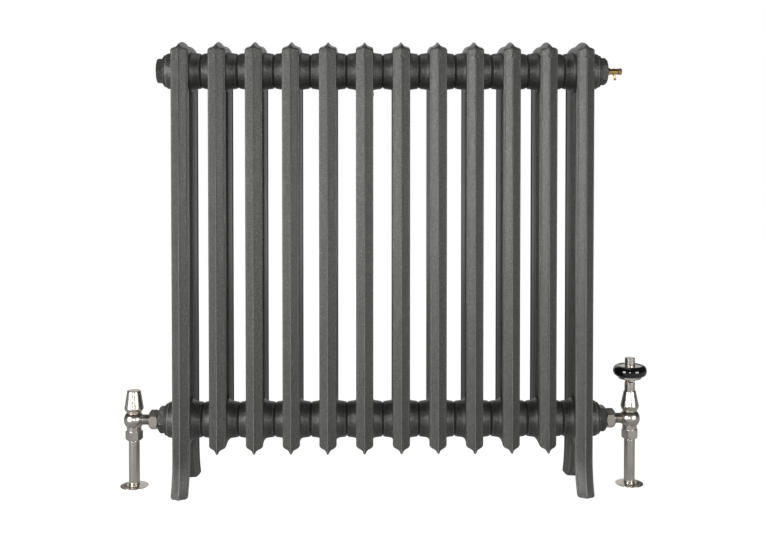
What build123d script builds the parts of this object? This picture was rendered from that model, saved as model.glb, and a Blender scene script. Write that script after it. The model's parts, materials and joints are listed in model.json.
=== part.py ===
from build123d import *

import math
import os

# Cast-iron column radiator with an angle wheel valve, a lockshield valve and an air vent.
# Millimetres. X runs along the radiator, the front faces -Y, Z is up. The origin is on the
# floor under the middle of the radiator. Every size below is a driving dimension.

# Radiator body
SECTION_COUNT = 12
SECTION_PITCH = 60.0
OVERALL_HEIGHT = 743.0
LOW_HUB_Z = 111.7
TOP_HUB_FALL = 48.0

# One section: a front and a rear column in plan. Depths are measured from the mid-plane.
RIDGE_DEPTH = 60.0
RIDGE_HALF_WIDTH = 1.2
RIDGE_PROUD = 1.6
FACE_HALF_WIDTH = 11.6
FACE_EDGE_DEPTH = 51.3
GROOVE_DEPTH = 49.9
BEAD_HALF_WIDTH = 14.15
BEAD_DEPTH = 49.2
BEAD_BACK_DEPTH = 46.2
BEAD_CHAMFER = 0.7
BEAD_STEP = 1.2
SIDE_HALF_WIDTH = 13.0
WAIST_HALF_WIDTH = 12.2
WAIST_DEPTH = 30.0
BACK_HALF_WIDTH = 9.5
BACK_DEPTH = 17.5
BACK_CROWN = 2.5

# Roof over the two columns
ROOF_FALL = 9.0
ROOF_PEAK_HALF_WIDTH = 1.3
ROOF_PEAK_FALL = 1.6
ROOF_HOLLOW_HALF_WIDTH = 4.4
ROOF_HOLLOW_FALL = 5.3
ROOF_SLOPE_HALF_WIDTH = 8.0
ROOF_SLOPE_FALL = 7.1
ROOF_SHOULDER_HALF_WIDTH = 12.7
ROOF_SHOULDER_FALL = 8.5
ROOF_LIP_FALL = 10.6
ROOF_THICKNESS = 21.0
ROOF_BEVEL = 3.0
ROOF_BEVEL_LEAN = 0.6
ROOF_TOOL_SIZE = 60.0
ROOF_OVERSHOOT = 2.0

# Underside of a section without feet
KEEL_DROP = 43.1
KEEL_HALF_WIDTH = 2.0
KEEL_RISE = 1.1
KEEL_ROOT_HALF_WIDTH = 3.2
KEEL_ROOT_RISE = 4.4
KEEL_FLARE_HALF_WIDTH = 5.6
KEEL_FLARE_RISE = 6.6
SOLE_HALF_WIDTH = 11.8
SOLE_RISE = 8.8
SOLE_CORNER_RISE = 12.0
LOW_WEB_DROP = 33.4

# Feet of the two end sections
FOOT_BEND_DROP = 49.7
FOOT_TOE_SHIFT = 14.0
FOOT_HEEL_SHIFT = 25.0
FOOT_STEPS = 4
FOOT_CORNER = 3.0
TRIM_MARGIN = 1.0

# Hub bosses, header bores and waterways
HUB_SEAM_RADIUS = 27.7
HUB_EDGE_RADIUS = 29.3
HUB_EDGE_WIDTH = 2.4
HUB_ROOT_RADIUS = 30.8
HUB_ROOT_FILLET = 3.6
HEADER_RADIUS = 18.0
COLUMN_WALL = 5.0
CROSSWAY_HALF_HEIGHT = 13.0
WATERWAY_END_MARGIN = 14.0
GASKET_THICKNESS = 0.8
GASKET_INSET = 1.4
NIPPLE_LENGTH = 26.0
NIPPLE_BORE_RADIUS = 14.0

# Bushes that close the four ends of the headers
BUSH_FLANGE_RADIUS = 26.6
BUSH_FLANGE_THICKNESS = 4.0
BUSH_HEX_FLATS = 39.5
BUSH_HEX_LENGTH = 9.6
BUSH_SPIGOT_LENGTH = 15.0
BUSH_FLANGE_SHOULDER = 1.0
BUSH_CHAMFER_RATIO = 1.6
NO_TAPER = 0.0001
PLUG_HEX_TURN = 30.0
VENT_BUSH_HEX_TURN = 8.0
LEFT_BUSH_HEX_TURN = 22.0
RIGHT_BUSH_HEX_TURN = 30.0

# Air vent, along its own axis from the outer face of its bush
VENT_THREAD_RADIUS = 4.8
VENT_THREAD_LENGTH = 17.0
VENT_HEX_FLATS = 11.9
VENT_HEX_LENGTH = 6.2
VENT_HEX_TURN = 30.0
VENT_CHAMFER_RATIO = 1.5
VENT_RING_WALL = 0.35
VENT_BARREL_RADIUS = 4.85
VENT_BARREL_LENGTH = 13.2
VENT_GROOVE_RADIUS = 4.2
VENT_GROOVE_START = 4.4
VENT_RING_LENGTH = 5.0
VENT_WATERWAY_RADIUS = 0.9
VENT_NEEDLE_RADIUS = 1.45
VENT_NEEDLE_LENGTH = 10.0
VENT_NEEDLE_GRIP = 3.0
VENT_KNOB_RADIUS = 5.4
VENT_KNOB_LENGTH = 6.4
VENT_KNOB_GAP = 0.3
VENT_KNURLS = 20
VENT_KNURL_RADIUS = 0.35
VENT_KNOB_CHAMFER = 0.7
SPOUT_RADIUS = 1.8
SPOUT_BORE_RADIUS = 0.9
SPOUT_LENGTH = 8.6
SPOUT_LEAN = 14.0
SPOUT_BEAD_RADIUS = 2.2

# Valve pattern shared by both ends
VALVE_FROM_BUSH = 43.0
BALL_RADIUS = 16.8
OUTLET_RADIUS = 8.5
OUTLET_BORE_RADIUS = 6.0
BODY_NECK_RADIUS = 12.0
BODY_NECK_RISE = 9.3
BODY_TOP_RADIUS = 11.75
BODY_TOP_RISE = 13.8
CHAMBER_RADIUS = 9.2
SEAT_DROP = 7.2
SEAT_BORE_RADIUS = 5.5
SOCKET_DEPTH = 14.0
SPIGOT_RADIUS = 9.5
SPIGOT_LENGTH = 9.0

# Union between valve and radiator
UNION_NUT_FLATS = 29.0
UNION_NUT_LENGTH = 16.0
UNION_NUT_GAP = 1.1
UNION_NUT_LIP = 2.5
UNION_THREAD_RADIUS = 10.3
COLLAR_INSET = 0.6
UNION_INNER_END_RADIUS = 13.4
UNION_OUTER_END_RADIUS = 12.2
UNION_INNER_TAPER = 2.6
UNION_OUTER_TAPER = 3.6
TAIL_RADIUS = 9.0
TAIL_THREAD_LENGTH = 14.0
TAIL_FLANGE_THICKNESS = 3.5
TAIL_FLANGE_CLEARANCE = 0.1

# Pipe, sleeve, compression joint and floor plate
PIPE_RADIUS = 7.5
PIPE_WALL = 0.7
SLEEVE_RADIUS = 9.0
SLEEVE_WALL = 1.2
COMPRESSION_NUT_FLATS = 25.0
COMPRESSION_NUT_LENGTH = 16.0
COMPRESSION_NUT_LIP = 4.0
COMPRESSION_LOW_END_RADIUS = 10.4
COMPRESSION_LOW_TAPER = 3.2
COMPRESSION_TOP_CHAMFER = 0.7
COMPRESSION_NUT_TURN = 8.0
OLIVE_LENGTH = 3.0
FLOOR_PLATE_RADIUS = 23.25
FLOOR_PLATE_EDGE = 0.8
FLOOR_PLATE_THICKNESS = 2.4
FLOOR_PLATE_CROWN_RADIUS = 12.5

# Headwork inside both valves
WASHER_RADIUS = 7.6
WASHER_THICKNESS = 2.0
DISC_CLEARANCE = 0.8
DISC_THICKNESS = 4.0
DISC_SOCKET_DEPTH = 3.0
SPINDLE_RADIUS = 3.0
BONNET_INSERT_LENGTH = 9.0
BONNET_FLANGE_RADIUS = 10.8
BONNET_FLANGE_THICKNESS = 5.5
BONNET_STEM_RADIUS = 6.6
GLAND_RADIUS = 5.0
PACKING_LENGTH = 5.0

# Lockshield head
LOCKSHIELD_STEM_RISE = 15.5
LOCKSHIELD_GLAND_DEPTH = 7.0
LOCKSHIELD_GLAND_NUT_HEIGHT = 3.0
GLAND_NUT_CHAMFER = 0.5
LOCKSHIELD_SPINDLE_RISE = 23.5
LOCKSHIELD_SQUARE = 4.2
LOCKSHIELD_SQUARE_LENGTH = 4.5
CAP_FOOT_RADIUS = 12.4
CAP_WIDEST_RADIUS = 15.85
CAP_WIDEST_RISE = 6.0
CAP_TOP_RADIUS = 11.15
CAP_HEIGHT = 35.5
CAP_EDGE = 0.8
CAP_CAVITY_RADIUS = 8.6
CAP_ROOF = 6.0
BULGE_INSET = 1.3
BULGE_SHARE = 0.32

# Wheel valve head
SHROUD_FOOT_RADIUS = 12.2
SHROUD_WIDEST_RADIUS = 15.15
SHROUD_WIDEST_RISE = 7.0
SHROUD_TOP_RADIUS = 10.1
SHROUD_HEIGHT = 32.5
WHEEL_STEM_RISE = 30.5
WHEEL_GLAND_DEPTH = 8.0
CROWN_COLLAR_RADIUS = 8.7
CROWN_COLLAR_HEIGHT = 15.5
CROWN_RADIUS = 8.2
CROWN_HEIGHT = 6.7
CROWN_BORE_RADIUS = 6.1
CROWN_FLOOR_DEPTH = 3.0
CROWN_WINDOWS = 3
CROWN_WINDOW_WIDTH = 10.4
CROWN_SILL_RISE = 0.6
CROWN_NECK_DEPTH = 1.0
CROWN_WINDOW_TURN = 264.0
WHEEL_SPINDLE_NECK_RADIUS = 2.1
WHEEL_GAP = 0.4
WHEEL_PLATE_RADIUS = 19.3
WHEEL_PLATE_THICKNESS = 4.6
WHEEL_PLATE_CHAMFER = 1.2
WHEEL_HUB_RADIUS = 7.6
WHEEL_HUB_HEIGHT = 15.6
WHEEL_RING_RADIUS = 27.9
WHEEL_RING_HALF_HEIGHT = 9.0
WHEEL_RING_HALF_WIDTH = 7.6
WHEEL_RING_PROUD = 0.9
WHEEL_TOP_PLATE_RADIUS = 19.4
WHEEL_TOP_PLATE_THICKNESS = 1.2
WHEEL_KNOB_RADIUS = 8.5
WHEEL_KNOB_HEIGHT = 13.8
WHEEL_KNOB_EDGE = 1.0
WHEEL_STUD_RADIUS = 2.4
WHEEL_STUD_LENGTH = 7.0

# Clearances, on the radius or across a gap
RUNNING_FIT = 0.05
SLIDING_FIT = 0.10
PIPE_FIT = 0.05

# Values worked out from the driving dimensions
SEAM_HALF_LENGTH = (SECTION_PITCH - GASKET_THICKNESS) / 2
BOSS_END_X = SECTION_COUNT * SECTION_PITCH / 2 - GASKET_THICKNESS / 2
BUSH_SEAT_X = BOSS_END_X + GASKET_THICKNESS
BUSH_END_X = BUSH_SEAT_X + BUSH_FLANGE_THICKNESS + BUSH_HEX_LENGTH
VALVE_X = BUSH_END_X + VALVE_FROM_BUSH
NUT_START_X = BUSH_END_X + UNION_NUT_GAP
TAIL_FLANGE_X = NUT_START_X + UNION_NUT_LIP
COLLAR_START_X = TAIL_FLANGE_X + TAIL_FLANGE_THICKNESS
TOP_HUB_Z = OVERALL_HEIGHT - TOP_HUB_FALL
KEEL_Z = LOW_HUB_Z - KEEL_DROP
FOOT_BEND_Z = LOW_HUB_Z - FOOT_BEND_DROP
BODY_TOP_Z = LOW_HUB_Z + BODY_TOP_RISE
SEAT_Z = LOW_HUB_Z - SEAT_DROP
LOCKSHIELD_STEM_TOP_Z = BODY_TOP_Z + LOCKSHIELD_STEM_RISE
LOCKSHIELD_SPINDLE_TOP_Z = BODY_TOP_Z + LOCKSHIELD_SPINDLE_RISE
WHEEL_STEM_TOP_Z = BODY_TOP_Z + WHEEL_STEM_RISE
CROWN_COLLAR_TOP_Z = WHEEL_STEM_TOP_Z + CROWN_COLLAR_HEIGHT
CROWN_TOP_Z = CROWN_COLLAR_TOP_Z + CROWN_HEIGHT
CROWN_FLOOR_Z = CROWN_COLLAR_TOP_Z - CROWN_FLOOR_DEPTH
CROWN_WINDOW_SILL_Z = CROWN_COLLAR_TOP_Z + CROWN_SILL_RISE
COLUMN_TOP_Z = TOP_HUB_Z + CROSSWAY_HALF_HEIGHT * 1.5
ROOF_RADIUS = (RIDGE_DEPTH**2 + ROOF_FALL**2) / (2 * ROOF_FALL)
NECK_LOW_Z = LOW_HUB_Z - BODY_NECK_RISE * 2
SPIGOT_LOW_Z = NECK_LOW_Z - SPIGOT_LENGTH
COMPRESSION_LOW_Z = NECK_LOW_Z - COMPRESSION_NUT_LENGTH
WASHER_TOP_Z = SEAT_Z + WASHER_THICKNESS
DISC_RADIUS = CHAMBER_RADIUS - DISC_CLEARANCE
DISC_TOP_Z = WASHER_TOP_Z + DISC_THICKNESS
SPINDLE_LOW_Z = DISC_TOP_Z - DISC_SOCKET_DEPTH
BONNET_LOW_Z = BODY_TOP_Z - BONNET_INSERT_LENGTH
BONNET_SHOULDER_Z = BODY_TOP_Z + BONNET_FLANGE_THICKNESS
WHEEL_LOW_Z = CROWN_TOP_Z + WHEEL_GAP
WHEEL_HUB_LOW_Z = WHEEL_LOW_Z + WHEEL_PLATE_THICKNESS
WHEEL_HUB_TOP_Z = WHEEL_HUB_LOW_Z + WHEEL_HUB_HEIGHT
WHEEL_PLATE_TOP_Z = WHEEL_HUB_TOP_Z + WHEEL_TOP_PLATE_THICKNESS
WHEEL_RING_Z = WHEEL_PLATE_TOP_Z + WHEEL_RING_PROUD - WHEEL_RING_HALF_HEIGHT
VENT_HEX_X = BUSH_END_X
VENT_BARREL_X = VENT_HEX_X + VENT_HEX_LENGTH
VENT_END_X = VENT_BARREL_X + VENT_BARREL_LENGTH
VENT_NEEDLE_X = VENT_END_X + VENT_NEEDLE_GRIP - VENT_NEEDLE_LENGTH
LEFT = -1
RIGHT = 1


# ---------------------------------------------------------------- shape helpers

def turned(points):
    """Solid of revolution about Z from (radius, height) points."""
    outline = Polyline(*[(radius, 0, height) for radius, height in points], close=True)
    return revolve(make_face(outline), axis=Axis.Z)


def rod(radius, low, high):
    """Cylinder about Z between two heights."""
    solid = Cylinder(radius, high - low, align=(Align.CENTER, Align.CENTER, Align.MIN))
    return Pos(0, 0, low) * solid


def ring(outer, inner, low, high):
    """Tube about Z between two heights."""
    return rod(outer, low, high) - rod(inner, low, high)


def hexagon_bar(flats, low, high, low_end, low_taper, high_end, high_taper, turn=0.0):
    """Hexagon bar about Z with both ends coned down to the given end radii."""
    corner = flats / math.sqrt(3)
    bar = extrude(RegularPolygon(corner, 6), high - low)
    bar = Pos(0, 0, low) * Rot(0, 0, turn) * bar
    low_cone = low + low_taper
    high_cone = high - high_taper
    return bar & turned([
        (0, low),
        (low_end, low),
        (corner, low_cone),
        (corner, high_cone),
        (high_end, high),
        (0, high),
    ])


def chamfer_height(flats):
    """Height of a 30 degree chamfer that just reaches the flats of a hexagon."""
    return (flats / math.sqrt(3) - flats / 2) * math.tan(math.radians(30))


def along_x(solid, side):
    """Lay a solid built along +Z onto the X axis, pointing to the given side."""
    return Rot(0, 90 * side, 0) * solid


def save(name, shape):
    """Write one node to its own STEP file."""
    export_step(shape, os.path.join("parts", name + ".step"))


# ---------------------------------------------------------------- radiator sections

def mirrored_outline(half):
    """Close a half outline of (across, depth) points by its mirror image across X = 0."""
    other = [(-across, depth) for across, depth in reversed(half) if across > 0]
    return half + other


def column_outline():
    """Front column in plan: ridge, faceted face, groove, side bead, waist and rounded back."""
    facet_rise = (RIDGE_DEPTH - RIDGE_PROUD - FACE_EDGE_DEPTH) / FACE_HALF_WIDTH
    ridge_root = RIDGE_DEPTH - RIDGE_PROUD - facet_rise * RIDGE_HALF_WIDTH
    return mirrored_outline([
        (0.0, RIDGE_DEPTH),
        (RIDGE_HALF_WIDTH, RIDGE_DEPTH - RIDGE_HALF_WIDTH / 2),
        (RIDGE_HALF_WIDTH, ridge_root),
        (FACE_HALF_WIDTH, FACE_EDGE_DEPTH),
        (FACE_HALF_WIDTH, GROOVE_DEPTH),
        (BEAD_HALF_WIDTH - BEAD_CHAMFER, BEAD_DEPTH),
        (BEAD_HALF_WIDTH, BEAD_DEPTH - BEAD_CHAMFER),
        (BEAD_HALF_WIDTH, BEAD_BACK_DEPTH),
        (SIDE_HALF_WIDTH, BEAD_BACK_DEPTH - BEAD_STEP),
        (WAIST_HALF_WIDTH, WAIST_DEPTH),
        (BACK_HALF_WIDTH, BACK_DEPTH),
        (0.0, BACK_DEPTH - BACK_CROWN),
    ])


def plan_face(outline, height):
    """Horizontal face at a height from (across, depth) points of the front half."""
    return make_face(Polyline(*[(across, -depth, height) for across, depth in outline], close=True))


def foot_outline(height):
    """Column outline pushed outwards near the floor, further at the heel than at the toe."""
    splay = (1 - height / FOOT_BEND_Z) ** 2
    depth_span = RIDGE_DEPTH - BACK_DEPTH + BACK_CROWN
    heel_extra = (FOOT_HEEL_SHIFT - FOOT_TOE_SHIFT) / depth_span
    return [
        (across, depth + splay * (FOOT_TOE_SHIFT + heel_extra * (RIDGE_DEPTH - depth)))
        for across, depth in column_outline()
    ]


def column(low, high):
    """Straight front column between two heights."""
    return extrude(plan_face(column_outline(), low), high - low)


def foot():
    """Splayed front foot from the floor to the bend."""
    heights = [FOOT_BEND_Z * step / FOOT_STEPS for step in range(FOOT_STEPS + 1)]
    return loft([plan_face(foot_outline(height), height) for height in heights])


def web(low, high):
    """Bridge between the two columns, as wide as their waists."""
    half = [
        (SIDE_HALF_WIDTH, BEAD_BACK_DEPTH - BEAD_STEP),
        (WAIST_HALF_WIDTH, WAIST_DEPTH),
        (WAIST_HALF_WIDTH, -WAIST_DEPTH),
        (SIDE_HALF_WIDTH, BEAD_STEP - BEAD_BACK_DEPTH),
    ]
    return extrude(plan_face(mirrored_outline(half), low), high - low)


def roof_section(depth_limit):
    """Gable with a hollow slope and a rounded lip, turned along the arch over both columns."""
    half = [
        (0.0, OVERALL_HEIGHT),
        (ROOF_PEAK_HALF_WIDTH, OVERALL_HEIGHT - ROOF_PEAK_FALL),
        (ROOF_HOLLOW_HALF_WIDTH, OVERALL_HEIGHT - ROOF_HOLLOW_FALL),
        (ROOF_SLOPE_HALF_WIDTH, OVERALL_HEIGHT - ROOF_SLOPE_FALL),
        (ROOF_SHOULDER_HALF_WIDTH, OVERALL_HEIGHT - ROOF_SHOULDER_FALL),
        (BEAD_HALF_WIDTH, OVERALL_HEIGHT - ROOF_LIP_FALL),
        (BEAD_HALF_WIDTH, OVERALL_HEIGHT - ROOF_THICKNESS),
    ]
    points = [(across, 0, height) for across, height in mirrored_outline(half)]
    gable = make_face(Polyline(*points, close=True))
    centre = Axis((0, 0, OVERALL_HEIGHT - ROOF_RADIUS), (1, 0, 0))
    half_angle = math.degrees(math.asin(depth_limit / ROOF_RADIUS))
    front = revolve(gable, axis=centre, revolution_arc=half_angle)
    rear = revolve(gable, axis=centre, revolution_arc=-half_angle)
    return front + rear


def roof_plan(low, high):
    """Envelope of the roof in plan: the outer outline of both columns joined by straight sides."""
    front = [(across, depth) for across, depth in column_outline() if depth >= BEAD_BACK_DEPTH]
    right = [point for point in front if point[0] >= 0]
    half = right + [(across, -depth) for across, depth in reversed(right)]
    return extrude(plan_face(mirrored_outline(half), low), high - low)


def bevel_tool(side):
    """Block that bevels the top edge of one front facet where it meets the roof."""
    facet = math.atan2(RIDGE_DEPTH - RIDGE_PROUD - FACE_EDGE_DEPTH, FACE_HALF_WIDTH)
    middle = FACE_HALF_WIDTH / 2
    depth = RIDGE_DEPTH - RIDGE_PROUD - middle * math.tan(facet)
    fall = ROOF_FALL * (depth / RIDGE_DEPTH) ** 2 + ROOF_HOLLOW_FALL + ROOF_BEVEL
    height = OVERALL_HEIGHT - fall
    slope = math.atan2(ROOF_SHOULDER_FALL, ROOF_SHOULDER_HALF_WIDTH)
    facet_normal = Vector(math.sin(facet) * side, -math.cos(facet), 0)
    roof_normal = Vector(math.sin(slope) * side, -2 * ROOF_FALL / RIDGE_DEPTH, math.cos(slope))
    normal = facet_normal + roof_normal * ROOF_BEVEL_LEAN
    cutter = Box(
        ROOF_TOOL_SIZE, ROOF_TOOL_SIZE, ROOF_TOOL_SIZE / 2,
        align=(Align.CENTER, Align.CENTER, Align.MIN),
    )
    return Plane(origin=(middle * side, -depth, height), z_dir=normal.normalized()) * cutter


def top_body():
    """Arched roof with its bevelled front and rear faces, and the bridge under it."""
    arch = roof_section(RIDGE_DEPTH + ROOF_OVERSHOOT)
    arch = arch & roof_plan(TOP_HUB_Z, OVERALL_HEIGHT + ROOF_OVERSHOOT)
    return arch + web(TOP_HUB_Z - HUB_SEAM_RADIUS, OVERALL_HEIGHT - ROOF_THICKNESS + ROOF_OVERSHOOT)


def end_silhouette(points):
    """Prism through both columns that trims their lower ends, from (across, height) points."""
    top = [(BEAD_HALF_WIDTH + TRIM_MARGIN, OVERALL_HEIGHT + TRIM_MARGIN)]
    half = points + top
    corners = mirrored_outline(half)
    face = make_face(Polyline(*[(across, 0, height) for across, height in corners], close=True))
    return extrude(face, RIDGE_DEPTH * 2, both=True)


def sole_silhouette():
    """Shape of a plain section's lower end: a narrow keel between rounded soles."""
    return end_silhouette([
        (0.0, KEEL_Z),
        (KEEL_HALF_WIDTH, KEEL_Z + KEEL_RISE),
        (KEEL_ROOT_HALF_WIDTH, KEEL_Z + KEEL_ROOT_RISE),
        (KEEL_FLARE_HALF_WIDTH, KEEL_Z + KEEL_FLARE_RISE),
        (SOLE_HALF_WIDTH, KEEL_Z + SOLE_RISE),
        (BEAD_HALF_WIDTH, KEEL_Z + SOLE_CORNER_RISE),
        (BEAD_HALF_WIDTH + TRIM_MARGIN, KEEL_Z + SOLE_CORNER_RISE + FOOT_CORNER),
    ])


def foot_silhouette():
    """Shape of a foot's lower end: flat on the floor with rounded corners."""
    round_in = FOOT_CORNER * (1 - math.cos(math.radians(45)))
    return end_silhouette([
        (0.0, 0.0),
        (BEAD_HALF_WIDTH - FOOT_CORNER, 0.0),
        (BEAD_HALF_WIDTH - round_in, round_in),
        (BEAD_HALF_WIDTH, FOOT_CORNER),
        (BEAD_HALF_WIDTH + TRIM_MARGIN, FOOT_CORNER * 2),
    ])


def hub(height):
    """Round boss through the section, with a narrower edge at each seam."""
    root = SIDE_HALF_WIDTH
    profile = [
        (0, 0),
        (HUB_ROOT_RADIUS + HUB_ROOT_FILLET, 0),
        (HUB_ROOT_RADIUS + HUB_ROOT_FILLET, root - TRIM_MARGIN),
        (HUB_ROOT_RADIUS + HUB_ROOT_FILLET / 3, root + HUB_ROOT_FILLET / 3),
        (HUB_ROOT_RADIUS, root + HUB_ROOT_FILLET),
        (HUB_EDGE_RADIUS, SEAM_HALF_LENGTH - HUB_EDGE_WIDTH),
        (HUB_SEAM_RADIUS, SEAM_HALF_LENGTH),
        (0, SEAM_HALF_LENGTH),
    ]
    boss = turned(profile)
    return Pos(0, 0, height) * (along_x(boss, RIGHT) + along_x(boss, LEFT))


def waterway():
    """Inside of the casting: two column ways, two crossways and two header bores."""
    wide = WAIST_HALF_WIDTH - COLUMN_WALL
    facet = (RIDGE_DEPTH - RIDGE_PROUD - FACE_EDGE_DEPTH) / FACE_HALF_WIDTH
    front = RIDGE_DEPTH - RIDGE_PROUD - COLUMN_WALL * math.sqrt(1 + facet**2)
    way_outline = mirrored_outline([
        (0.0, front),
        (wide, front - facet * wide),
        (wide, WAIST_DEPTH),
        (BACK_HALF_WIDTH - COLUMN_WALL, BACK_DEPTH + COLUMN_WALL),
        (0.0, BACK_DEPTH + COLUMN_WALL - BACK_CROWN),
    ])
    low = LOW_HUB_Z - WATERWAY_END_MARGIN
    high = TOP_HUB_Z + WATERWAY_END_MARGIN
    front_way = extrude(plan_face(way_outline, low), high - low)
    hollow = front_way + mirror(front_way, Plane.XZ)
    crossway = Box(wide * 2, (front - facet * wide) * 2, CROSSWAY_HALF_HEIGHT * 2)
    header = along_x(rod(HEADER_RADIUS, -SECTION_PITCH, SECTION_PITCH), RIGHT)
    for height in (LOW_HUB_Z, TOP_HUB_Z):
        hollow = hollow + Pos(0, 0, height) * crossway + Pos(0, 0, height) * header
    return hollow


def front_column(with_feet):
    """Front column with its lower end, trimmed to the right silhouette."""
    if with_feet:
        whole = column(FOOT_BEND_Z, COLUMN_TOP_Z) + foot()
        return whole & foot_silhouette()
    whole = column(KEEL_Z, COLUMN_TOP_Z)
    return whole & sole_silhouette()


def section(with_feet):
    """One hollow casting of the radiator, centred on X = 0."""
    front = front_column(with_feet)
    casting = front + mirror(front, Plane.XZ)
    casting = casting + web(LOW_HUB_Z - LOW_WEB_DROP, LOW_HUB_Z + HUB_SEAM_RADIUS)
    casting = casting + top_body()
    for side in (LEFT, RIGHT):
        tool = bevel_tool(side)
        casting = casting - tool - mirror(tool, Plane.XZ)
    casting = casting + hub(LOW_HUB_Z) + hub(TOP_HUB_Z)
    return casting - waterway()


def section_x(index):
    """Middle of a section, counted from the left end."""
    return (index - (SECTION_COUNT - 1) / 2) * SECTION_PITCH


def save_sections():
    """Twelve castings: one with feet at each end and plain ones between them."""
    footed = section(True)
    plain = section(False)
    for index in range(SECTION_COUNT):
        at_end = index in (0, SECTION_COUNT - 1)
        casting = footed if at_end else plain
        save("section_%02d" % (index + 1), Pos(section_x(index), 0, 0) * casting)


def at_seams(piece, height):
    """Copies of a piece at every seam between two sections."""
    seams = [section_x(index) + SECTION_PITCH / 2 for index in range(SECTION_COUNT - 1)]
    return Compound(children=[Pos(seam, 0, height) * piece for seam in seams])


def save_nipples_and_gaskets():
    """Nipples that draw the sections together, and the gaskets squeezed between the bosses."""
    half = NIPPLE_LENGTH / 2
    nipple = along_x(ring(HEADER_RADIUS, NIPPLE_BORE_RADIUS, -half, half), RIGHT)
    gasket_radius = HUB_SEAM_RADIUS - GASKET_INSET
    half_gasket = GASKET_THICKNESS / 2
    gasket = along_x(ring(gasket_radius, HEADER_RADIUS, -half_gasket, half_gasket), RIGHT)
    for level, height in (("top", TOP_HUB_Z), ("bottom", LOW_HUB_Z)):
        save("hub_nipples_" + level, at_seams(nipple, height))
        save("hub_gaskets_" + level, at_seams(gasket, height))


# ---------------------------------------------------------------- bushes

def bush(bore_radius, turn):
    """Flanged hexagon bush along +Z from its spigot, seated at height zero; bore 0 is a plug."""
    end = BUSH_FLANGE_THICKNESS + BUSH_HEX_LENGTH
    flats_radius = BUSH_HEX_FLATS / 2
    corner = BUSH_HEX_FLATS / math.sqrt(3)
    solid = rod(HEADER_RADIUS, -BUSH_SPIGOT_LENGTH, 0)
    solid = solid + turned([
        (0, 0),
        (BUSH_FLANGE_RADIUS, 0),
        (BUSH_FLANGE_RADIUS, BUSH_FLANGE_THICKNESS / 2),
        (corner + BUSH_FLANGE_SHOULDER, BUSH_FLANGE_THICKNESS),
        (0, BUSH_FLANGE_THICKNESS),
    ])
    solid = solid + hexagon_bar(
        BUSH_HEX_FLATS, BUSH_FLANGE_THICKNESS, end, corner, NO_TAPER,
        flats_radius, chamfer_height(BUSH_HEX_FLATS) * BUSH_CHAMFER_RATIO, turn,
    )
    if bore_radius > 0:
        solid = solid - rod(bore_radius, -BUSH_SPIGOT_LENGTH, end)
    return solid


def save_bushes():
    """A plug, a vent bush and two valve bushes, with their gaskets."""
    places = (
        ("blanking_plug", LEFT, TOP_HUB_Z, 0, PLUG_HEX_TURN),
        ("air_vent_bush", RIGHT, TOP_HUB_Z, VENT_THREAD_RADIUS, VENT_BUSH_HEX_TURN),
        ("left_valve_bush", LEFT, LOW_HUB_Z, TAIL_RADIUS, LEFT_BUSH_HEX_TURN),
        ("right_valve_bush", RIGHT, LOW_HUB_Z, TAIL_RADIUS, RIGHT_BUSH_HEX_TURN),
    )
    gasket = ring(HUB_SEAM_RADIUS - GASKET_INSET, HEADER_RADIUS, -GASKET_THICKNESS, 0)
    gaskets = []
    for name, side, height, bore_radius, turn in places:
        seat = Pos(side * BUSH_SEAT_X, 0, height)
        save(name, seat * along_x(bush(bore_radius, turn), side))
        gaskets.append(seat * along_x(gasket, side))
    save("bush_gaskets", Compound(children=gaskets))


# ---------------------------------------------------------------- air vent

def on_vent_axis(solid):
    """Lay a solid built along +Z, with heights measured as X, onto the vent axis."""
    return Pos(0, 0, TOP_HUB_Z) * along_x(solid, RIGHT)


def air_vent_body():
    """Screwed vent: thread, hexagon, grooved barrel, needle bore and side port."""
    groove_low = VENT_BARREL_X + VENT_GROOVE_START
    groove_high = groove_low + VENT_RING_LENGTH + 2 * SLIDING_FIT
    flats_radius = VENT_HEX_FLATS / 2
    taper = chamfer_height(VENT_HEX_FLATS) * VENT_CHAMFER_RATIO
    solid = rod(VENT_THREAD_RADIUS, VENT_HEX_X - VENT_THREAD_LENGTH, VENT_HEX_X)
    solid = solid + hexagon_bar(
        VENT_HEX_FLATS, VENT_HEX_X, VENT_BARREL_X, flats_radius, taper, flats_radius, taper,
        VENT_HEX_TURN,
    )
    solid = solid + rod(VENT_BARREL_RADIUS, VENT_BARREL_X, groove_low)
    solid = solid + rod(VENT_GROOVE_RADIUS, groove_low, groove_high)
    solid = solid + rod(VENT_BARREL_RADIUS, groove_high, VENT_END_X)
    solid = solid - rod(VENT_WATERWAY_RADIUS, VENT_HEX_X - VENT_THREAD_LENGTH, VENT_NEEDLE_X)
    solid = solid - rod(VENT_NEEDLE_RADIUS + RUNNING_FIT, VENT_NEEDLE_X, VENT_END_X)
    port = Pos(0, 0, TOP_HUB_Z) * Pos((groove_low + groove_high) / 2, 0, 0)
    drilled = port * rod(VENT_WATERWAY_RADIUS, -VENT_BARREL_RADIUS, 0)
    return on_vent_axis(solid) - drilled


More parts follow.
